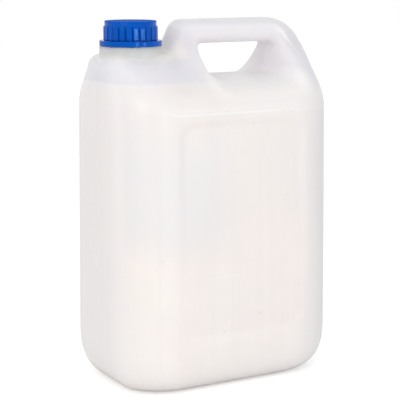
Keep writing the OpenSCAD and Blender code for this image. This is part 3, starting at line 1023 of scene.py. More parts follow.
@dataclass(frozen=True)
class NaturalPlastic:
    """Uncoloured blow-moulded plastic, with the oil showing through it up to its level.

    The wall is full where the oil stands behind it and empty above. Places and heights
    are in millimetres, and a pair holds the two ends of a zone over which one tone or
    mask gives way to another.
    """

    form: JugForm = JugForm()
    full_low: Colour = screen(249, 240, 236)
    full_high: Colour = screen(241, 235, 232)
    patch: Colour = screen(236, 234, 235)
    # Neutral tone of the near end, where less oil shows, made lighter as painted light
    end: Colour = screen(245, 240, 239)
    # Grey of the painted shade towards the far end, also the tone of the faint die lines
    far: Colour = screen(226, 225, 226)
    empty: Colour = screen(233, 231, 236)
    # Pale colour of the painted highlights (shoulder line, handle crease, parting line, oil's edge) and
    # of the real scuffs, litre dashes and scratches
    light: Colour = screen(253, 251, 251)
    dirt: Colour = screen(150, 140, 138)
    # Greyer, darker tone of the handle: painted shade that tones down the light from above
    handle: Colour = screen(224, 222, 227)
    # Bluish grey of the leg: painted shade towards the far edge
    leg: Colour = screen(214, 213, 220)
    # Near-white of the collar: painted light that lifts it out of the shade under the ring and cap
    neck: Colour = screen(253, 253, 255)
    # Pale colour of painted light on the walls round the finger hole
    glow: Colour = screen(255, 250, 250)
    # Warm pale tone of the riser's side that faces the cap: painted light against the cap's shadow and
    # blue bounce
    warm: Colour = screen(254, 246, 238)
    level: float = 241
    level_edge: Pair = (-3, 2)
    level_blur: Pair = (0, 80)
    level_wander: float = 1
    # Painted highlight along the oil's edge: its offset, half width and fade
    meniscus_highlight: float = -0.8
    meniscus_half: float = 1.6
    meniscus_fade: Pair = (-60, 30)
    full_rise: Pair = (60, 200)
    cloud_side: Pair = (-30, 5)
    cloud_low: Pair = (100, 140)
    cloud_high: Pair = (180, 210)
    end_turn: Pair = (-93.2, -88.5)
    far_shade_turn: Pair = (40, 85)
    handle_shade_rise: Pair = (252, 272)
    neck_light_ring: Pair = (24.8, 27.2)
    riser_light_side: Pair = (-37, -22)
    riser_rise: Pair = (255, 262)
    leg_shade_side: Pair = (55, 75)
    glow_reach: Pair = (2, 18)
    glow_rise: float = 9
    front_face: Pair = (-55, -50)
    end_face: Pair = (-92, -91)
    parting_half: float = 1.1
    parting_rise: Pair = (220, 240)
    line_z: float = 218.3
    line_lift: float = 9
    line_half: float = 2.1
    line_turn: Pair = (-78, -56)
    line_start: Pair = (-74, -52)
    line_fade: Pair = (0, 60)
    crease_in: float = 6
    crease_turn: float = 17
    crease_half: float = 1.6
    crease_corner: float = 0.91
    crease_bar: float = 0.53
    crease_leg: float = 0.22
    crease_start: Pair = (-40, -20)
    crease_far: Pair = (52, 70)
    crease_low: Pair = (228, 250)
    crease_high: Pair = (263, 272)
    roughness: float = 0.36
    scatter: float = 30
    scatter_tint: tuple[float, float, float] = (1.0, 0.95, 0.86)
    scuffs: tuple[Mark, ...] = (
        Mark(-20, 92, 5, 30, 2.4, 0.5), Mark(-36.5, 156.5, 20, 3.4, 1.4, 0.7),
        Mark(-32, 157, -15, 3, 1.2, 0.6), Mark(44, 61, 8, 5, 1.4, 0.6),
        Mark(-58, 58, 60, 2.6, 1.6, 0.5))
    litre_marks: tuple[Mark, ...] = tuple(
        Mark(9.5, z, 0, 8, 1.5, 1) for z in (51.5, 100, 145.8, 191.5))

    def dress(self, effects: Effects) -> bpy.types.Material:
        """Builds the material.

        Args:
            effects: The shared node groups.

        Returns:
            The material.
        """
        finish, graph, shader = new_finish("natural_plastic")
        place = graph.place()
        x, y, z = graph.axes(place)
        grain = graph.use(effects.grain, {"Place": place, "Wave": 42.0, "Peel": 1300.0,
                                          "Peel Share": 0.06}).outputs
        worn = graph.use(effects.marks, {"Place": place, "Scratches": 0.55, "Specks": 0.5,
                                         "Size": 1.0}).outputs
        lines = graph.noise(graph.stretch(place, (1.0, 1.0, 0.02)), 130.0, 2.0, 0.6)
        # rim: painted highlight along the shoulder line, with a slight relief in the bump
        rim = self.shoulder_highlight(graph, x, z)
        scuffs = self.marked(graph, effects, self.scuffs, x, z,
                             graph.zone(y, self.front_face, 1.0, 0.0))
        dashes = self.marked(graph, effects, self.litre_marks, y, z,
                             graph.zone(x, self.end_face, 1.0, 0.0))
        # The parting line: a slight real ridge in the bump, and a painted glint of paler colour along it,
        # stronger high up
        parting_seam_and_glint = graph.math("MULTIPLY", graph.band(y, 0.0, self.parting_half * MM),
                             graph.zone(z, self.parting_rise, 0.45, 1.0))
        # crease: painted highlight along the handle's crease, with a slight relief in the bump
        crease = self.handle_crease_highlight(graph, x, z)
        tint = self.tone(graph, (x, y, z), grain["Tone"], lines)
        # Paints highlights on the shoulder line, the handle crease and the parting line, then adds the
        # real scuffs, dashes, scratches and dust
        for mask, share, colour in (
                (rim, 0.5, self.light), (crease, 0.7, self.light), (parting_seam_and_glint, 0.7, self.light),
                (scuffs, 0.45, self.light), (dashes, 0.35, self.light),
                (worn["Scratches"], 0.5, self.light), (worn["Specks"], 0.55, self.dirt)):
            tint = graph.blend(graph.math("MULTIPLY", mask, share), tint, colour)
        rough = graph.math("MULTIPLY_ADD", grain["Tone"], 0.12, self.roughness - 0.06)
        rough = graph.math("MULTIPLY_ADD", scuffs, 0.2, rough)
        rough = graph.math("MULTIPLY_ADD", worn["Scratches"], 0.25, rough, clamp=True)
        normal: Socket | None = None
        for height, distance in ((grain["Height"], 0.00045), (rim, 0.0004), (crease, 0.0004),
                                 (parting_seam_and_glint, 0.0005), (dashes, 0.0004),
                                 (lines, 0.00006), (worn["Scratches"], 0.00004)):
            normal = graph.bump(height, distance, normal)
        shader.subsurface_method = "RANDOM_WALK"
        graph.feed(shader, {"Base Color": tint, "Roughness": rough, "Normal": normal, "IOR": 1.5,
                            "Subsurface Weight": 1.0, "Subsurface Radius": self.scatter_tint,
                            "Subsurface Scale": self.scatter * MM})
        return finish

    def tone(self, graph: Graph, place: Sequence[Socket], patches: Socket, lines: Socket) -> Socket:
        """Adds the tone of the wall: pale where empty, warm where the oil stands behind it, with painted
        light and shade at the ends, on the handle, the leg, the collar, the riser and round the finger
        hole.

        Args:
            graph: Graph of the material.
            place: Place along, across and up, in metres.
            patches: Slow mottling of the wall.
            lines: Faint upright lines that the moulding die leaves.

        Returns:
            The colour.
        """
        x, y, z = place
        soft = graph.zone(x, self.level_blur, 1.0, 3.5)
        wander = graph.math("MULTIPLY_ADD", patches, self.level_wander * MM,
                            (self.level - self.level_wander / 2) * MM)
        over = graph.math("DIVIDE", graph.math("SUBTRACT", z, wander), soft)
        full = graph.blend(graph.zone(z, self.full_rise), self.full_low, self.full_high)
        full = graph.blend(graph.span(patches, 0.35, 0.7, 0.0, 0.4), full, self.patch)
        cloud = graph.math("MULTIPLY", graph.zone(x, self.cloud_side, 0.8, 0.0), graph.math(
            "MULTIPLY", graph.zone(z, self.cloud_low), graph.zone(z, self.cloud_high, 1.0, 0.3)))
        full = graph.blend(graph.math("MULTIPLY", cloud, graph.span(patches, 0.3, 0.5, 0.6, 1.0)),
                           full, self.patch)
        # The near end turns neutral, and lighter as painted light
        full = graph.blend(graph.zone(x, self.end_turn, 1.0, 0.0), full, self.end)
        # Painted shade: the far end turns greyer and darker
        full = graph.blend(graph.zone(x, self.far_shade_turn), full, self.far)
        near = graph.hypot(y, graph.math("SUBTRACT", x, self.form.neck_x * MM))
        # Painted shade: darker towards the top of the handle
        above = graph.blend(graph.zone(z, self.handle_shade_rise), self.empty, self.handle)
        # Painted light on the collar, in the shade of the ring and cap
        above = graph.blend(graph.zone(near, self.neck_light_ring, 1.0, 0.0), above, self.neck)
        # Painted light on the riser's side in the cap's shadow
        riser = graph.math("MULTIPLY", graph.zone(x, self.riser_light_side, 1.0, 0.0),
                           graph.zone(z, self.riser_rise))
        above = graph.blend(riser, above, self.warm)
        # Painted shade: darker and bluer over the leg
        above = graph.blend(graph.zone(x, self.leg_shade_side, 0.0, 0.7), above, self.leg)
        tint = graph.blend(graph.zone(over, self.level_edge, 1.0, 0.0), above, full)
        low = self.form.hole_low_z
        # Painted light round the finger hole, stronger near its floor
        glow = graph.zone(z, (low, low + self.glow_rise), 0.7, 0.25)
        tint = graph.blend(graph.math("MULTIPLY", self.round_hole(graph, x, z), glow), tint, self.glow)
        # Painted highlight along the oil's edge, fading towards the far end
        meniscus_highlight = graph.math(
            "MULTIPLY", graph.band(over, self.meniscus_highlight * MM, self.meniscus_half * MM),
            graph.zone(x, self.meniscus_fade, 0.2, 0.0))
        tint = graph.blend(meniscus_highlight, tint, self.light)
        # Faint upright die lines, a real tone, drawn in the same grey as the far end's painted shade
        return graph.blend(graph.span(lines, 0.45, 0.7, 0.0, 0.12), tint, self.far)

    def round_hole(self, graph: Graph, x: Socket, z: Socket) -> Socket:
        """Adds a mask for the walls next to the finger hole, where painted light stands in for the light
        that passes through from both sides.

        Args:
            graph: Graph of the material.
            x, z: Place along and up, in metres.

        Returns:
            The mask.
        """
        (left, right), low, high = self.form.hole_x, self.form.hole_low_z, self.form.hole_top_z
        across = graph.past(x, (left + right) / 2 * MM, (right - left) / 2 * MM)
        up = graph.past(z, (low + high) / 2 * MM, (high - low) / 2 * MM)
        return graph.zone(graph.hypot(up, across), self.glow_reach, 1.0, 0.0)

    def shoulder_highlight(self, graph: Graph, x: Socket, z: Socket) -> Socket:
        """Adds a mask for the painted highlight along the line where the broad faces meet the shoulder.

        Args:
            graph: Graph of the material.
            x, z: Place along and up, in metres.

        Returns:
            The mask.
        """
        height = graph.zone(x, self.line_turn, (self.line_z + self.line_lift) * MM, self.line_z * MM)
        line = graph.band(graph.math("SUBTRACT", z, height), 0.0, self.line_half * MM)
        line = graph.math("MULTIPLY", line, graph.zone(x, self.line_start))
        return graph.math("MULTIPLY", line, graph.zone(x, self.line_fade, 1.0, 0.15))

    def handle_crease_highlight(self, graph: Graph, x: Socket, z: Socket) -> Socket:
        """Adds a mask for the painted highlight along the crease between the flat of the handle and its
        outer rounding.

        Args:
            graph: Graph of the material.
            x, z: Place along and up, in metres.

        Returns:
            The mask.
        """
        form = self.form
        corner = (form.seam_x - form.end_lean - form.leg_round * self.crease_corner) * MM
        level = (form.height - form.leg_round) * MM
        up = graph.math("SUBTRACT", z, level)
        along = graph.math("MULTIPLY_ADD", up, form.end_slope, graph.math("SUBTRACT", x, corner))
        along, up = graph.math("MAXIMUM", along, 0.0), graph.math("MAXIMUM", up, 0.0)
        away = graph.hypot(up, along)
        bar, leg = form.height - self.crease_in, form.height - self.crease_turn
        bar_reach = self.crease_in + self.crease_bar * bar
        leg_reach = self.crease_in + self.crease_bar * (bar - leg) + self.crease_leg * leg
        reach = graph.math("MINIMUM",
                           graph.math("MULTIPLY_ADD", z, -self.crease_bar, bar_reach * MM),
                           graph.math("MULTIPLY_ADD", z, -self.crease_leg, leg_reach * MM))
        inside = graph.math("SUBTRACT", form.leg_round * MM, away)
        line = graph.band(graph.math("SUBTRACT", inside, reach), 0.0, self.crease_half * MM)
        for fade in (graph.zone(x, self.crease_start), graph.zone(x, self.crease_far, 0.3, 1.0),
                     graph.zone(z, self.crease_low), graph.zone(z, self.crease_high, 0.25, 1.0)):
            line = graph.math("MULTIPLY", line, fade)
        return line

    def marked(self, graph: Graph, effects: Effects, marks: Sequence[Mark], across: Socket,
               up: Socket, facing: Socket) -> Socket:
        """Adds the mask of several straight marks on one face.

        Args:
            graph: Graph of the material.
            effects: The shared node groups.
            marks: The marks.
            across, up: Place on the face, in metres.
            facing: Mask of the face itself.

        Returns:
            The mask.
        """
        total: Socket | None = None
        for mark in marks:
            group = graph.use(effects.streak, {
                "Across": graph.math("SUBTRACT", across, mark.across * MM),
                "Up": graph.math("SUBTRACT", up, mark.up * MM), "Lean": math.radians(mark.lean),
                "Length": mark.length * MM, "Width": mark.width * MM})
            mask = graph.math("MULTIPLY", group.outputs[0], mark.strength)
            total = mask if total is None else graph.math("MAXIMUM", total, mask)
        return graph.math("MULTIPLY", total, facing)


@dataclass(frozen=True)
class BluePlastic:
    """Glossy blue plastic of the cap and the tamper ring."""

    colour: Colour = screen(0, 86, 190)
    deep: Colour = screen(0, 76, 174)
    # Darker blue of painted shade in the grooves between the ribs
    groove_shade: Colour = screen(0, 66, 155)
    scratch: Colour = screen(96, 150, 222)
    gleam: Colour = (0.3, 0.6, 1.0, 1.0)
    form: JugForm = JugForm()
    groove_radius: Pair = (20.2, 20.9)
    groove_rise: Pair = (282.2, 283.2)
    matt_rise: Pair = (286, 286.3)
    roughness: float = 0.16

    def dress(self, effects: Effects) -> bpy.types.Material:
        """Builds the material.

        Args:
            effects: The shared node groups.

        Returns:
            The material.
        """
        finish, graph, shader = new_finish("blue_plastic")
        place = graph.place()
        grain = graph.use(effects.grain, {"Place": place, "Wave": 240.0, "Peel": 4200.0,
                                          "Peel Share": 0.12})
        marks = graph.use(effects.marks, {"Place": place, "Scratches": 0.8, "Specks": 0.35,
                                          "Size": 2.2})
        tint = graph.blend(graph.span(grain.outputs["Tone"], 0.35, 0.7, 0.0, 0.45), self.colour,
                           self.deep)
        x, y, z = graph.axes(place)
        radius = graph.hypot(y, graph.math("SUBTRACT", x, self.form.neck_x * MM))
        # Painted shade in the grooves between the ribs, below the crown
        groove_shade = graph.math("MULTIPLY", graph.zone(radius, self.groove_radius, 1.0, 0.0),
                            graph.zone(z, self.groove_rise, 1.0, 0.0))
        tint = graph.blend(groove_shade, tint, self.groove_shade)
        tint = graph.blend(graph.math("MULTIPLY", marks.outputs["Scratches"], 0.35), tint, self.scratch)
        rough = graph.math("MULTIPLY_ADD", grain.outputs["Tone"], 0.14, self.roughness - 0.06)
        rough = graph.math("MULTIPLY_ADD", graph.zone(z, self.matt_rise), 0.45, rough)
        rough = graph.math("MULTIPLY_ADD", marks.outputs["Scratches"], 0.3, rough, clamp=True)
        normal = graph.bump(grain.outputs["Height"], 0.00005)
        normal = graph.bump(marks.outputs["Scratches"], 0.00002, normal)
        graph.feed(shader, {"Base Color": tint, "Roughness": rough, "Normal": normal, "IOR": 1.3,
                            "Specular Tint": self.gleam})
        return finish


@dataclass(frozen=True)
class PaleOil:
    """Cloudy cream oil inside the jug."""

    colour: Colour = screen(246, 236, 226)
    thin: Colour = screen(250, 243, 234)
    scatter: float = 6

    def dress(self, effects: Effects) -> bpy.types.Material:
        """Builds the material.

        Args:
            effects: The shared node groups.

        Returns:
            The material.
        """
        finish, graph, shader = new_finish("pale_oil")
        place = graph.place()
        grain = graph.use(effects.grain, {"Place": place, "Wave": 20.0, "Peel": 90.0,
                                          "Peel Share": 0.3})
        tint = graph.blend(graph.span(grain.outputs["Tone"], 0.3, 0.7), self.colour, self.thin)
        rough = graph.math("MULTIPLY_ADD", grain.outputs["Tone"], 0.08, 0.04)
        normal = graph.bump(grain.outputs["Height"], 0.0002)
        graph.feed(shader, {"Base Color": tint, "Roughness": rough, "Normal": normal, "IOR": 1.47,
                            "Subsurface Weight": 1.0, "Subsurface Scale": self.scatter * MM})
        return finish


@dataclass(frozen=True)
class LinerFoam:
    """Closed-cell foam of the sealing disc."""

    colour: Colour = screen(238, 237, 234)
    cell: Colour = screen(214, 213, 210)

    def dress(self, effects: Effects) -> bpy.types.Material:
        """Builds the material.

        Args:
            effects: The shared node groups.

        Returns:
            The material.
        """
        finish, graph, shader = new_finish("liner_foam")
        place = graph.place()
        grain = graph.use(effects.grain, {"Place": place, "Wave": 300.0, "Peel": 2500.0,
                                          "Peel Share": 0.6})
        cells = graph.add("TexVoronoi", {"Vector": place, "Scale": 1800.0}).outputs["Distance"]
        tint = graph.blend(graph.span(cells, 0.2, 0.7), self.cell, self.colour)
        rough = graph.math("MULTIPLY_ADD", grain.outputs["Tone"], 0.1, 0.6)
        normal = graph.bump(grain.outputs["Height"], 0.00008, graph.bump(cells, 0.00012))
        graph.feed(shader, {"Base Color": tint, "Roughness": rough, "Normal": normal})
        return finish


# Sub-assemblies


@dataclass(frozen=True)
class Jug:
    """The blow-moulded jug: skin, hollow foot, collar and threaded neck in one closed mesh."""

    form: JugForm = JugForm()
    bore: float = 16.2
    neck: float = 18.4
    collar: float = 24.3
    collar_height: float = 5.9
    neck_height: float = 15.9
    bead: float = 1.2
    bead_height: float = 1.6
    bead_lift: float = 1.9
    root: float = 4
    cove: float = 2.4
    cove_reach: float = 1.8
    cove_steps: int = 6
    cove_depth: float = 16
    collar_band: float = 1
    rounding: float = 0.45
    seam_gap: float = 0.6
    slack: float = 0.01
    thread: float = 0.55
    thread_lift: float = 3.3
    thread_turns: float = 1.6
    thread_start: float = 0.6
    foot_steps: tuple[Pair, ...] = ((9, 0), (3, 0.6), (5, 1.4))
    steps: int = 160

    @property
    def collar_z(self) -> float:
        """Height of the top of the collar."""
        return self.form.deck_z + self.collar_height

    @property
    def rim_z(self) -> float:
        """Height of the neck's rim."""
        return self.collar_z + self.neck_height

    def build(self, plastic: bpy.types.Material) -> None:
        """Builds and dresses the jug.

        Args:
            plastic: Its material.
        """
        bm = bmesh.new()
        for sheet in self.form.front_sheets():
            lay_sheet(bm, sheet)
        bmesh.ops.remove_doubles(bm, verts=bm.verts, dist=2 * WELD)
        bmesh.ops.mirror(bm, geom=bm.verts[:] + bm.edges[:] + bm.faces[:], matrix=Matrix.Identity(4),
                         merge_dist=2 * WELD, axis="Y")
        bmesh.ops.remove_doubles(bm, verts=bm.verts, dist=2 * WELD)
        self.close_foot(bm)
        self.grow_neck(bm)
        self.add_thread(bm)
        piece = finished(bm, "jug_skin", plastic, Body.JUG, sharp=60)
        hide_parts("body")

    def close_foot(self, bm: bmesh.types.BMesh) -> None:
        """Closes the open underside with a standing ring and a hollow inside it.

        Args:
            bm: Mesh of the jug, open below.
        """
        rim = [e for e in bm.edges if e.is_boundary]
        floor = bmesh.ops.edgeloop_fill(bm, edges=rim)["faces"]
        bmesh.ops.recalc_face_normals(bm, faces=bm.faces)
        for width, lift in self.foot_steps:
            bmesh.ops.inset_region(bm, faces=floor, thickness=width * MM, depth=0)
            bmesh.ops.translate(bm, verts=list({v for f in floor for v in f.verts}),
                                vec=(0, 0, lift * MM))

    def grow_neck(self, bm: bmesh.types.BMesh) -> None:
        """Opens the deck and lets the collar and the neck grow out of it with a soft cove.

        Args:
            bm: Mesh of the jug, closed at the deck.
        """
        deck, form = BVHTree.FromBMesh(bm), self.form

        def on_deck(radius: float, lift: float = 0) -> np.ndarray:
            """Gives a ring of places round the neck.

            Args:
                radius: Distance from the neck's axis.
                lift: Height over the deck.

            Returns:
                The places, one for each step round.
            """
            places = []
            for angle in np.linspace(0, 2 * math.pi, self.steps + 1):
                x, y = form.neck_x + radius * math.cos(angle), radius * math.sin(angle)
                hit = deck.ray_cast(Vector((x * MM, y * MM, 1)), Vector((0, 0, -1)))[0]
                places.append((x, y, hit.z / MM + lift))
            return np.array(places)

        wall, corner = on_deck(self.collar, self.cove), on_deck(self.collar)
        foot = on_deck(self.collar + self.cove_reach)
        clear = (self.collar + self.cove_reach + self.seam_gap) * MM
        centre = Vector((form.neck_x * MM, 0))
        under = {f for v in bm.verts for f in v.link_faces
                 if v.co.z > (form.deck_z - self.cove_depth) * MM
                 and (v.co.xy - centre).length < clear}
        bmesh.ops.delete(bm, geom=list(under), context="FACES")
        lay_sheet(bm, np.array([between(between(wall, corner, t), between(corner, foot, t), t)
                                for t in np.linspace(0, 1, self.cove_steps + 1)]))
        top, bead_z, bead = self.collar_z, self.collar_z + self.bead_lift, self.neck + self.bead
        low = top - self.collar_band
        turn(bm, [(self.collar, low), (self.collar, top), (self.neck, top), (self.neck, bead_z),
                  (bead, bead_z), (bead, bead_z + self.bead_height / 2),
                  (self.neck, bead_z + self.bead_height), (self.neck, self.rim_z),
                  (self.bore, self.rim_z), (self.bore, form.deck_z - self.root),
                  (0, form.deck_z - self.root)], self.steps, form.neck_x, closed=False)
        around = [v for v in bm.verts if v.co.z > (low - self.slack) * MM
                  and (v.co.xy - centre).length < (self.collar + self.slack) * MM]
        soften(bm, self.rounding, verts=around)
        for vert in bm.verts:
            out = vert.co.xy - centre
            if abs(vert.co.z - low * MM) < WELD and abs(out.length - self.collar * MM) < WELD:
                step = round(math.atan2(out.y, out.x) / (2 * math.pi) * self.steps) % self.steps
                vert.co = wall[step] * MM
        bmesh.ops.remove_doubles(bm, verts=bm.verts, dist=2 * WELD)
        open_edges = [e for e in bm.edges if e.is_boundary]
        bmesh.ops.triangle_fill(bm, use_beauty=False, use_dissolve=False, edges=open_edges,
                                normal=(0, 0, 1))
        bmesh.ops.recalc_face_normals(bm, faces=bm.faces)
        log.info("jug_skin: %d open edges", sum(e.is_boundary for e in bm.edges))

    def add_thread(self, bm: bmesh.types.BMesh) -> None:
        """Winds the thread round the neck.

        Args:
            bm: Mesh of the jug with its neck.
        """
        low, crest = self.collar_z + self.bead_lift + self.thread_lift, self.neck + self.thread
        foot = self.neck - THREAD_SUNK
        wind(bm, [(foot, -THREAD_FOOT), (crest, -THREAD_CREST), (crest, THREAD_CREST),
                  (foot, THREAD_FOOT)],
             self.neck - THREAD_ROOT, low, PITCH, self.thread_turns, self.thread_start,
             self.form.neck_x)


@dataclass(frozen=True)
class ScrewCap:
    """The ribbed blue cap with its inner thread and the bridges to the tamper ring."""

    form: JugForm = JugForm()
    low: float = 272.2
    high: float = 286.9
    rib_radius: float = 21.1
    rib_depth: float = 1.0
    ribs: int = 24
    rib_width: float = 4.2
    rib_rows: int = 14
    rib_steps: int = 20
    rib_edge: float = 0.35
    rib_flat: float = 0.1
    rib_fade: float = 1.2
    skirt_in: float = 0.45
    skirt_over: float = 0.05
    crown: float = 19.9
    crown_height: float = 3.5
    crown_lip: Pair = (0.15, 0.5)
    dish: Pair = (16.2, 16.9)
    dish_depth: float = 0.5
    pip: Pair = (1.3, 1.6)
    pip_depth: float = 0.25
    rounding: float = 0.18
    top: float = 1.9
    bore: float = 19.2
    thread: float = 0.5
    thread_lift: float = 3.1
    thread_turns: float = 1.3
    thread_start: float = 0.6 + 2 * math.pi * 0.66
    bridges: int = 12
    bridge: tuple[float, float, float] = (0.9, 1.3, 0.5)
    bridge_in: float = 0.95
    bridge_drop: float = 0.02

    def build(self, blue: bpy.types.Material) -> None:
        """Builds and dresses the cap.

        Args:
            blue: Its material.
        """
        core, crown_z = self.rib_radius - self.rib_depth, self.high - self.crown_height
        rows = np.linspace(self.low, crown_z, self.rib_rows)
        pip_z, dish_z, roof_z = (self.high - d for d in (self.pip_depth, self.dish_depth, self.top))
        bm = bmesh.new()
        turn(bm, [(0, pip_z), (self.pip[0], pip_z), (self.pip[1], dish_z), (self.dish[0], dish_z),
                  (self.dish[1], self.high), (self.crown, self.high),
                  (self.crown + self.crown_lip[0], self.high - self.crown_lip[1]),
                  *[(core, z) for z in rows[::-1]], (self.bore, self.low), (self.bore, roof_z),
                  (0, roof_z)], self.ribs * self.rib_steps)
        soften(bm, self.rounding, segments=2, angle=20)
        for vert in bm.verts:
            radius, z = math.hypot(vert.co.x, vert.co.y), vert.co.z / MM
            if radius > (core - self.skirt_in) * MM and z < crown_z + self.skirt_over:
                vert.co.xy *= 1 + self.rib(math.atan2(vert.co.y, vert.co.x), z) * MM / radius
        foot, crest = self.bore + THREAD_SUNK, self.bore - self.thread
        wind(bm, [(foot, -THREAD_FOOT), (foot, THREAD_FOOT), (crest, THREAD_CREST),
                  (crest, -THREAD_CREST)],
             self.bore + THREAD_ROOT, self.low + self.thread_lift, PITCH, self.thread_turns,
             self.thread_start, 0)
        self.add_bridges(bm)
        shift(bm, self.form.neck_x, 0, 0)
        piece = finished(bm, "screw_cap", blue, Body.CAP)
        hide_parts("cap")

    def rib(self, angle: float, z: float) -> float:
        """Finds how far the ribs stand out.

        Args:
            angle: Direction from the cap's axis, in radians.
            z: Height in millimetres.

        Returns:
            The distance in millimetres.
        """
        turns = angle * self.ribs / (2 * math.pi)
        away = abs(turns - round(turns)) * 2 * math.pi / self.ribs
        side = float(ramp((self.rib_width / 2 + self.rib_edge - away * self.rib_radius)
                          / (2 * self.rib_edge)))
        end = float(ramp((self.high - self.crown_height - z) / (self.rib_fade * self.rib_depth)))
        flat = (self.rib_radius - self.rib_flat) / math.cos(away) - self.rib_radius + self.rib_depth
        return flat * side * end

    def add_bridges(self, bm: bmesh.types.BMesh) -> None:
        """Adds the stubs that held the tamper ring, on the underside of the skirt.

        Args:
            bm: Mesh of the cap, with its axis at the origin.
        """
        size = Matrix.Diagonal([*(side * MM for side in self.bridge), 1])
        place = Matrix.Translation(
            ((self.bore + self.bridge_in) * MM, 0, (self.low - self.bridge_drop) * MM))
        for number in range(self.bridges):
            spot = Matrix.Rotation((number + 0.5) * 2 * math.pi / self.bridges, 4, "Z")
            bmesh.ops.create_cube(bm, size=1, matrix=spot @ place @ size)


@dataclass(frozen=True)
class TamperRing:
    """The blue band that stays on the neck, scored where it tears."""

    form: JugForm = JugForm()
    low: float = 267.7
    height: float = 4.2
    outer: float = 24.2
    lip: float = 18.7
    clear: float = 19.9
    wall: float = 1.1
    lip_height: float = 1.3
    hem: float = 0.001
    rows: int = 7
    steps: int = 480
    rounding: float = 0.3
    skirt_in: float = 0.4
    score_angles: tuple[float, ...] = (262.9, 352.9, 82.9, 172.9)
    score_edges: Pair = (0.44, 1.54)
    score_depth: float = 0.5

    def build(self, blue: bpy.types.Material) -> None:
        """Builds and dresses the ring.

        Args:
            blue: Its material.
        """
        top = self.low + self.height
        rows = np.linspace(self.low, top, self.rows)[1:]
        bm = bmesh.new()
        turn(bm, [(self.lip, self.low), (self.clear + self.wall, self.low),
                  (self.clear + self.wall, top - self.wall), (self.outer - self.wall, top - self.wall),
                  (self.outer - self.hem, self.low), *[(self.outer, z) for z in rows],
                  (self.clear, top), (self.clear, self.low + self.lip_height),
                  (self.lip, self.low + self.lip_height / 2)], self.steps)
        soften(bm, self.rounding, angle=35)
        near, far = self.score_edges
        for vert in bm.verts:
            radius = math.hypot(vert.co.x, vert.co.y)
            if radius > (self.outer - self.skirt_in) * MM:
                angle = math.degrees(math.atan2(vert.co.y, vert.co.x))
                away = min(abs((angle - a + 180) % 360 - 180) for a in self.score_angles)
                sunk = self.score_depth * float(ramp((far - away) / (far - near)))
                vert.co.xy *= 1 - sunk * MM / radius
        shift(bm, self.form.neck_x, 0, 0)
        piece = finished(bm, "tear_band", blue, Body.JUG)
        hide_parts("tamper_ring")


@dataclass(frozen=True)
class Lamp:
    """A soft light, with its place and size in metres and its power in watts."""

    name: str
    place: tuple[float, float, float]
    size: Pair
    power: float


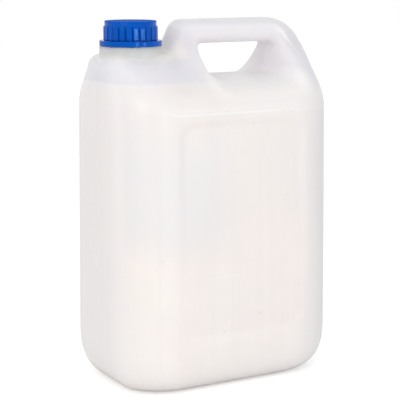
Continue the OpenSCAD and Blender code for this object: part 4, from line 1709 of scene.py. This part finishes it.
@dataclass(frozen=True)
class Studio:
    """Pale floor, soft lights and the camera at the photograph's angle."""

    lamps: tuple[Lamp, ...] = (
        Lamp("key", (-1.4, -0.9, 0.8), (0.8, 0.8), 4.9),
        Lamp("top", (0.0, -0.2, 1.8), (1.1, 1.1), 1),
        Lamp("near strip", (-0.147, -1.42, 0.206), (0.09, 0.2), 1.25),
        Lamp("far strip", (0.563, -1.27, 0.206), (0.09, 0.2), 1.25))
    aim_z: float = 0.14
    eye: tuple[float, float, float] = (-0.5258, -0.9186, 0.3336)
    yaw: float = 29.69
    pitch: float = 10.33
    lens: float = 119.07
    sensor: float = 36
    clip: Pair = (0.05, 50)
    sky: float = 0.74
    floor_half: float = 4
    floor_glow: float = 0.35

    def build(self) -> None:
        """Builds the floor, the lights, the world and the camera."""
        self.floor()
        self.world()
        for lamp in self.lamps:
            self.hang(lamp)
        self.camera()

    def floor(self) -> None:
        """Builds the floor, which stays pale but keeps the jug's shadow."""
        bm = bmesh.new()
        bmesh.ops.create_grid(bm, x_segments=8, y_segments=8, size=self.floor_half)
        mesh = bpy.data.meshes.new("floor")
        bm.to_mesh(mesh)
        bm.free()
        finish, graph, shader = new_finish("pale_floor")
        shade = graph.noise(graph.place(), 9.0, 3.0, 0.5)
        tint = graph.blend(graph.span(shade, 0.3, 0.7), screen(247, 247, 247), screen(250, 250, 250))
        seen = graph.add("LightPath").outputs["Is Camera Ray"]
        graph.feed(shader, {"Base Color": tint, "Roughness": 0.9, "Emission Color": (1, 1, 1, 1),
                            "Emission Strength": graph.math("MULTIPLY", seen, self.floor_glow)})
        mesh.materials.append(finish)
        floor = bpy.data.objects.new("floor", mesh)
        bpy.context.scene.collection.objects.link(floor)

    def world(self) -> None:
        """Lights the scene from all round, and shows plain white to the camera."""
        world = bpy.data.worlds.new("studio")
        world.use_nodes = True
        world.node_tree.nodes.clear()
        graph = Graph(world.node_tree)
        path = graph.add("LightPath").outputs
        seen = graph.math("MAXIMUM", graph.math("MAXIMUM", path["Is Camera Ray"],
                                                path["Is Glossy Ray"]), path["Is Transmission Ray"])
        strength = graph.span(seen, 0.0, 1.0, self.sky, 1.0)
        sky = graph.add("Background", {"Color": (1, 1, 1, 1), "Strength": strength})
        graph.add("OutputWorld", {"Surface": sky.outputs[0]})
        bpy.context.scene.world = world

    def hang(self, lamp: Lamp) -> None:
        """Adds a soft light that faces the jug.

        Args:
            lamp: The light.
        """
        light = bpy.data.lights.new(lamp.name, "AREA")
        light.shape, light.energy = "RECTANGLE", lamp.power
        light.size, light.size_y = lamp.size
        piece = bpy.data.objects.new(lamp.name, light)
        bpy.context.scene.collection.objects.link(piece)
        piece.location = lamp.place
        aim = Vector((0, 0, self.aim_z)) - Vector(lamp.place)
        piece.rotation_euler = aim.to_track_quat("-Z", "Y").to_euler()

    def camera(self) -> None:
        """Adds the camera."""
        lens = bpy.data.cameras.new("camera")
        lens.lens, lens.sensor_width = self.lens, self.sensor
        lens.clip_start, lens.clip_end = self.clip
        camera = bpy.data.objects.new("camera", lens)
        bpy.context.scene.collection.objects.link(camera)
        camera.location = self.eye
        camera.rotation_euler = (math.radians(90 - self.pitch), 0, math.radians(-self.yaw))
        bpy.context.scene.camera = camera
        bpy.context.scene.view_settings.view_transform = "Standard"


def main() -> None:
    """Builds the whole scene."""
    logging.basicConfig(level=logging.INFO, format="%(name)s %(message)s")
    effects = Effects()
    plastic = NaturalPlastic().dress(effects)
    blue = BluePlastic().dress(effects)
    Jug().build(plastic)
    ScrewCap().build(blue)
    TamperRing().build(blue)
    for node, finish in (("oil", PaleOil().dress(effects)), ("liner", LinerFoam().dress(effects))):
        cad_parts[node].material_slots[0].material = finish
        log.info("%s: packed solid with its own finish", node)
    Studio().build()


if __name__ == "__main__":
    main()
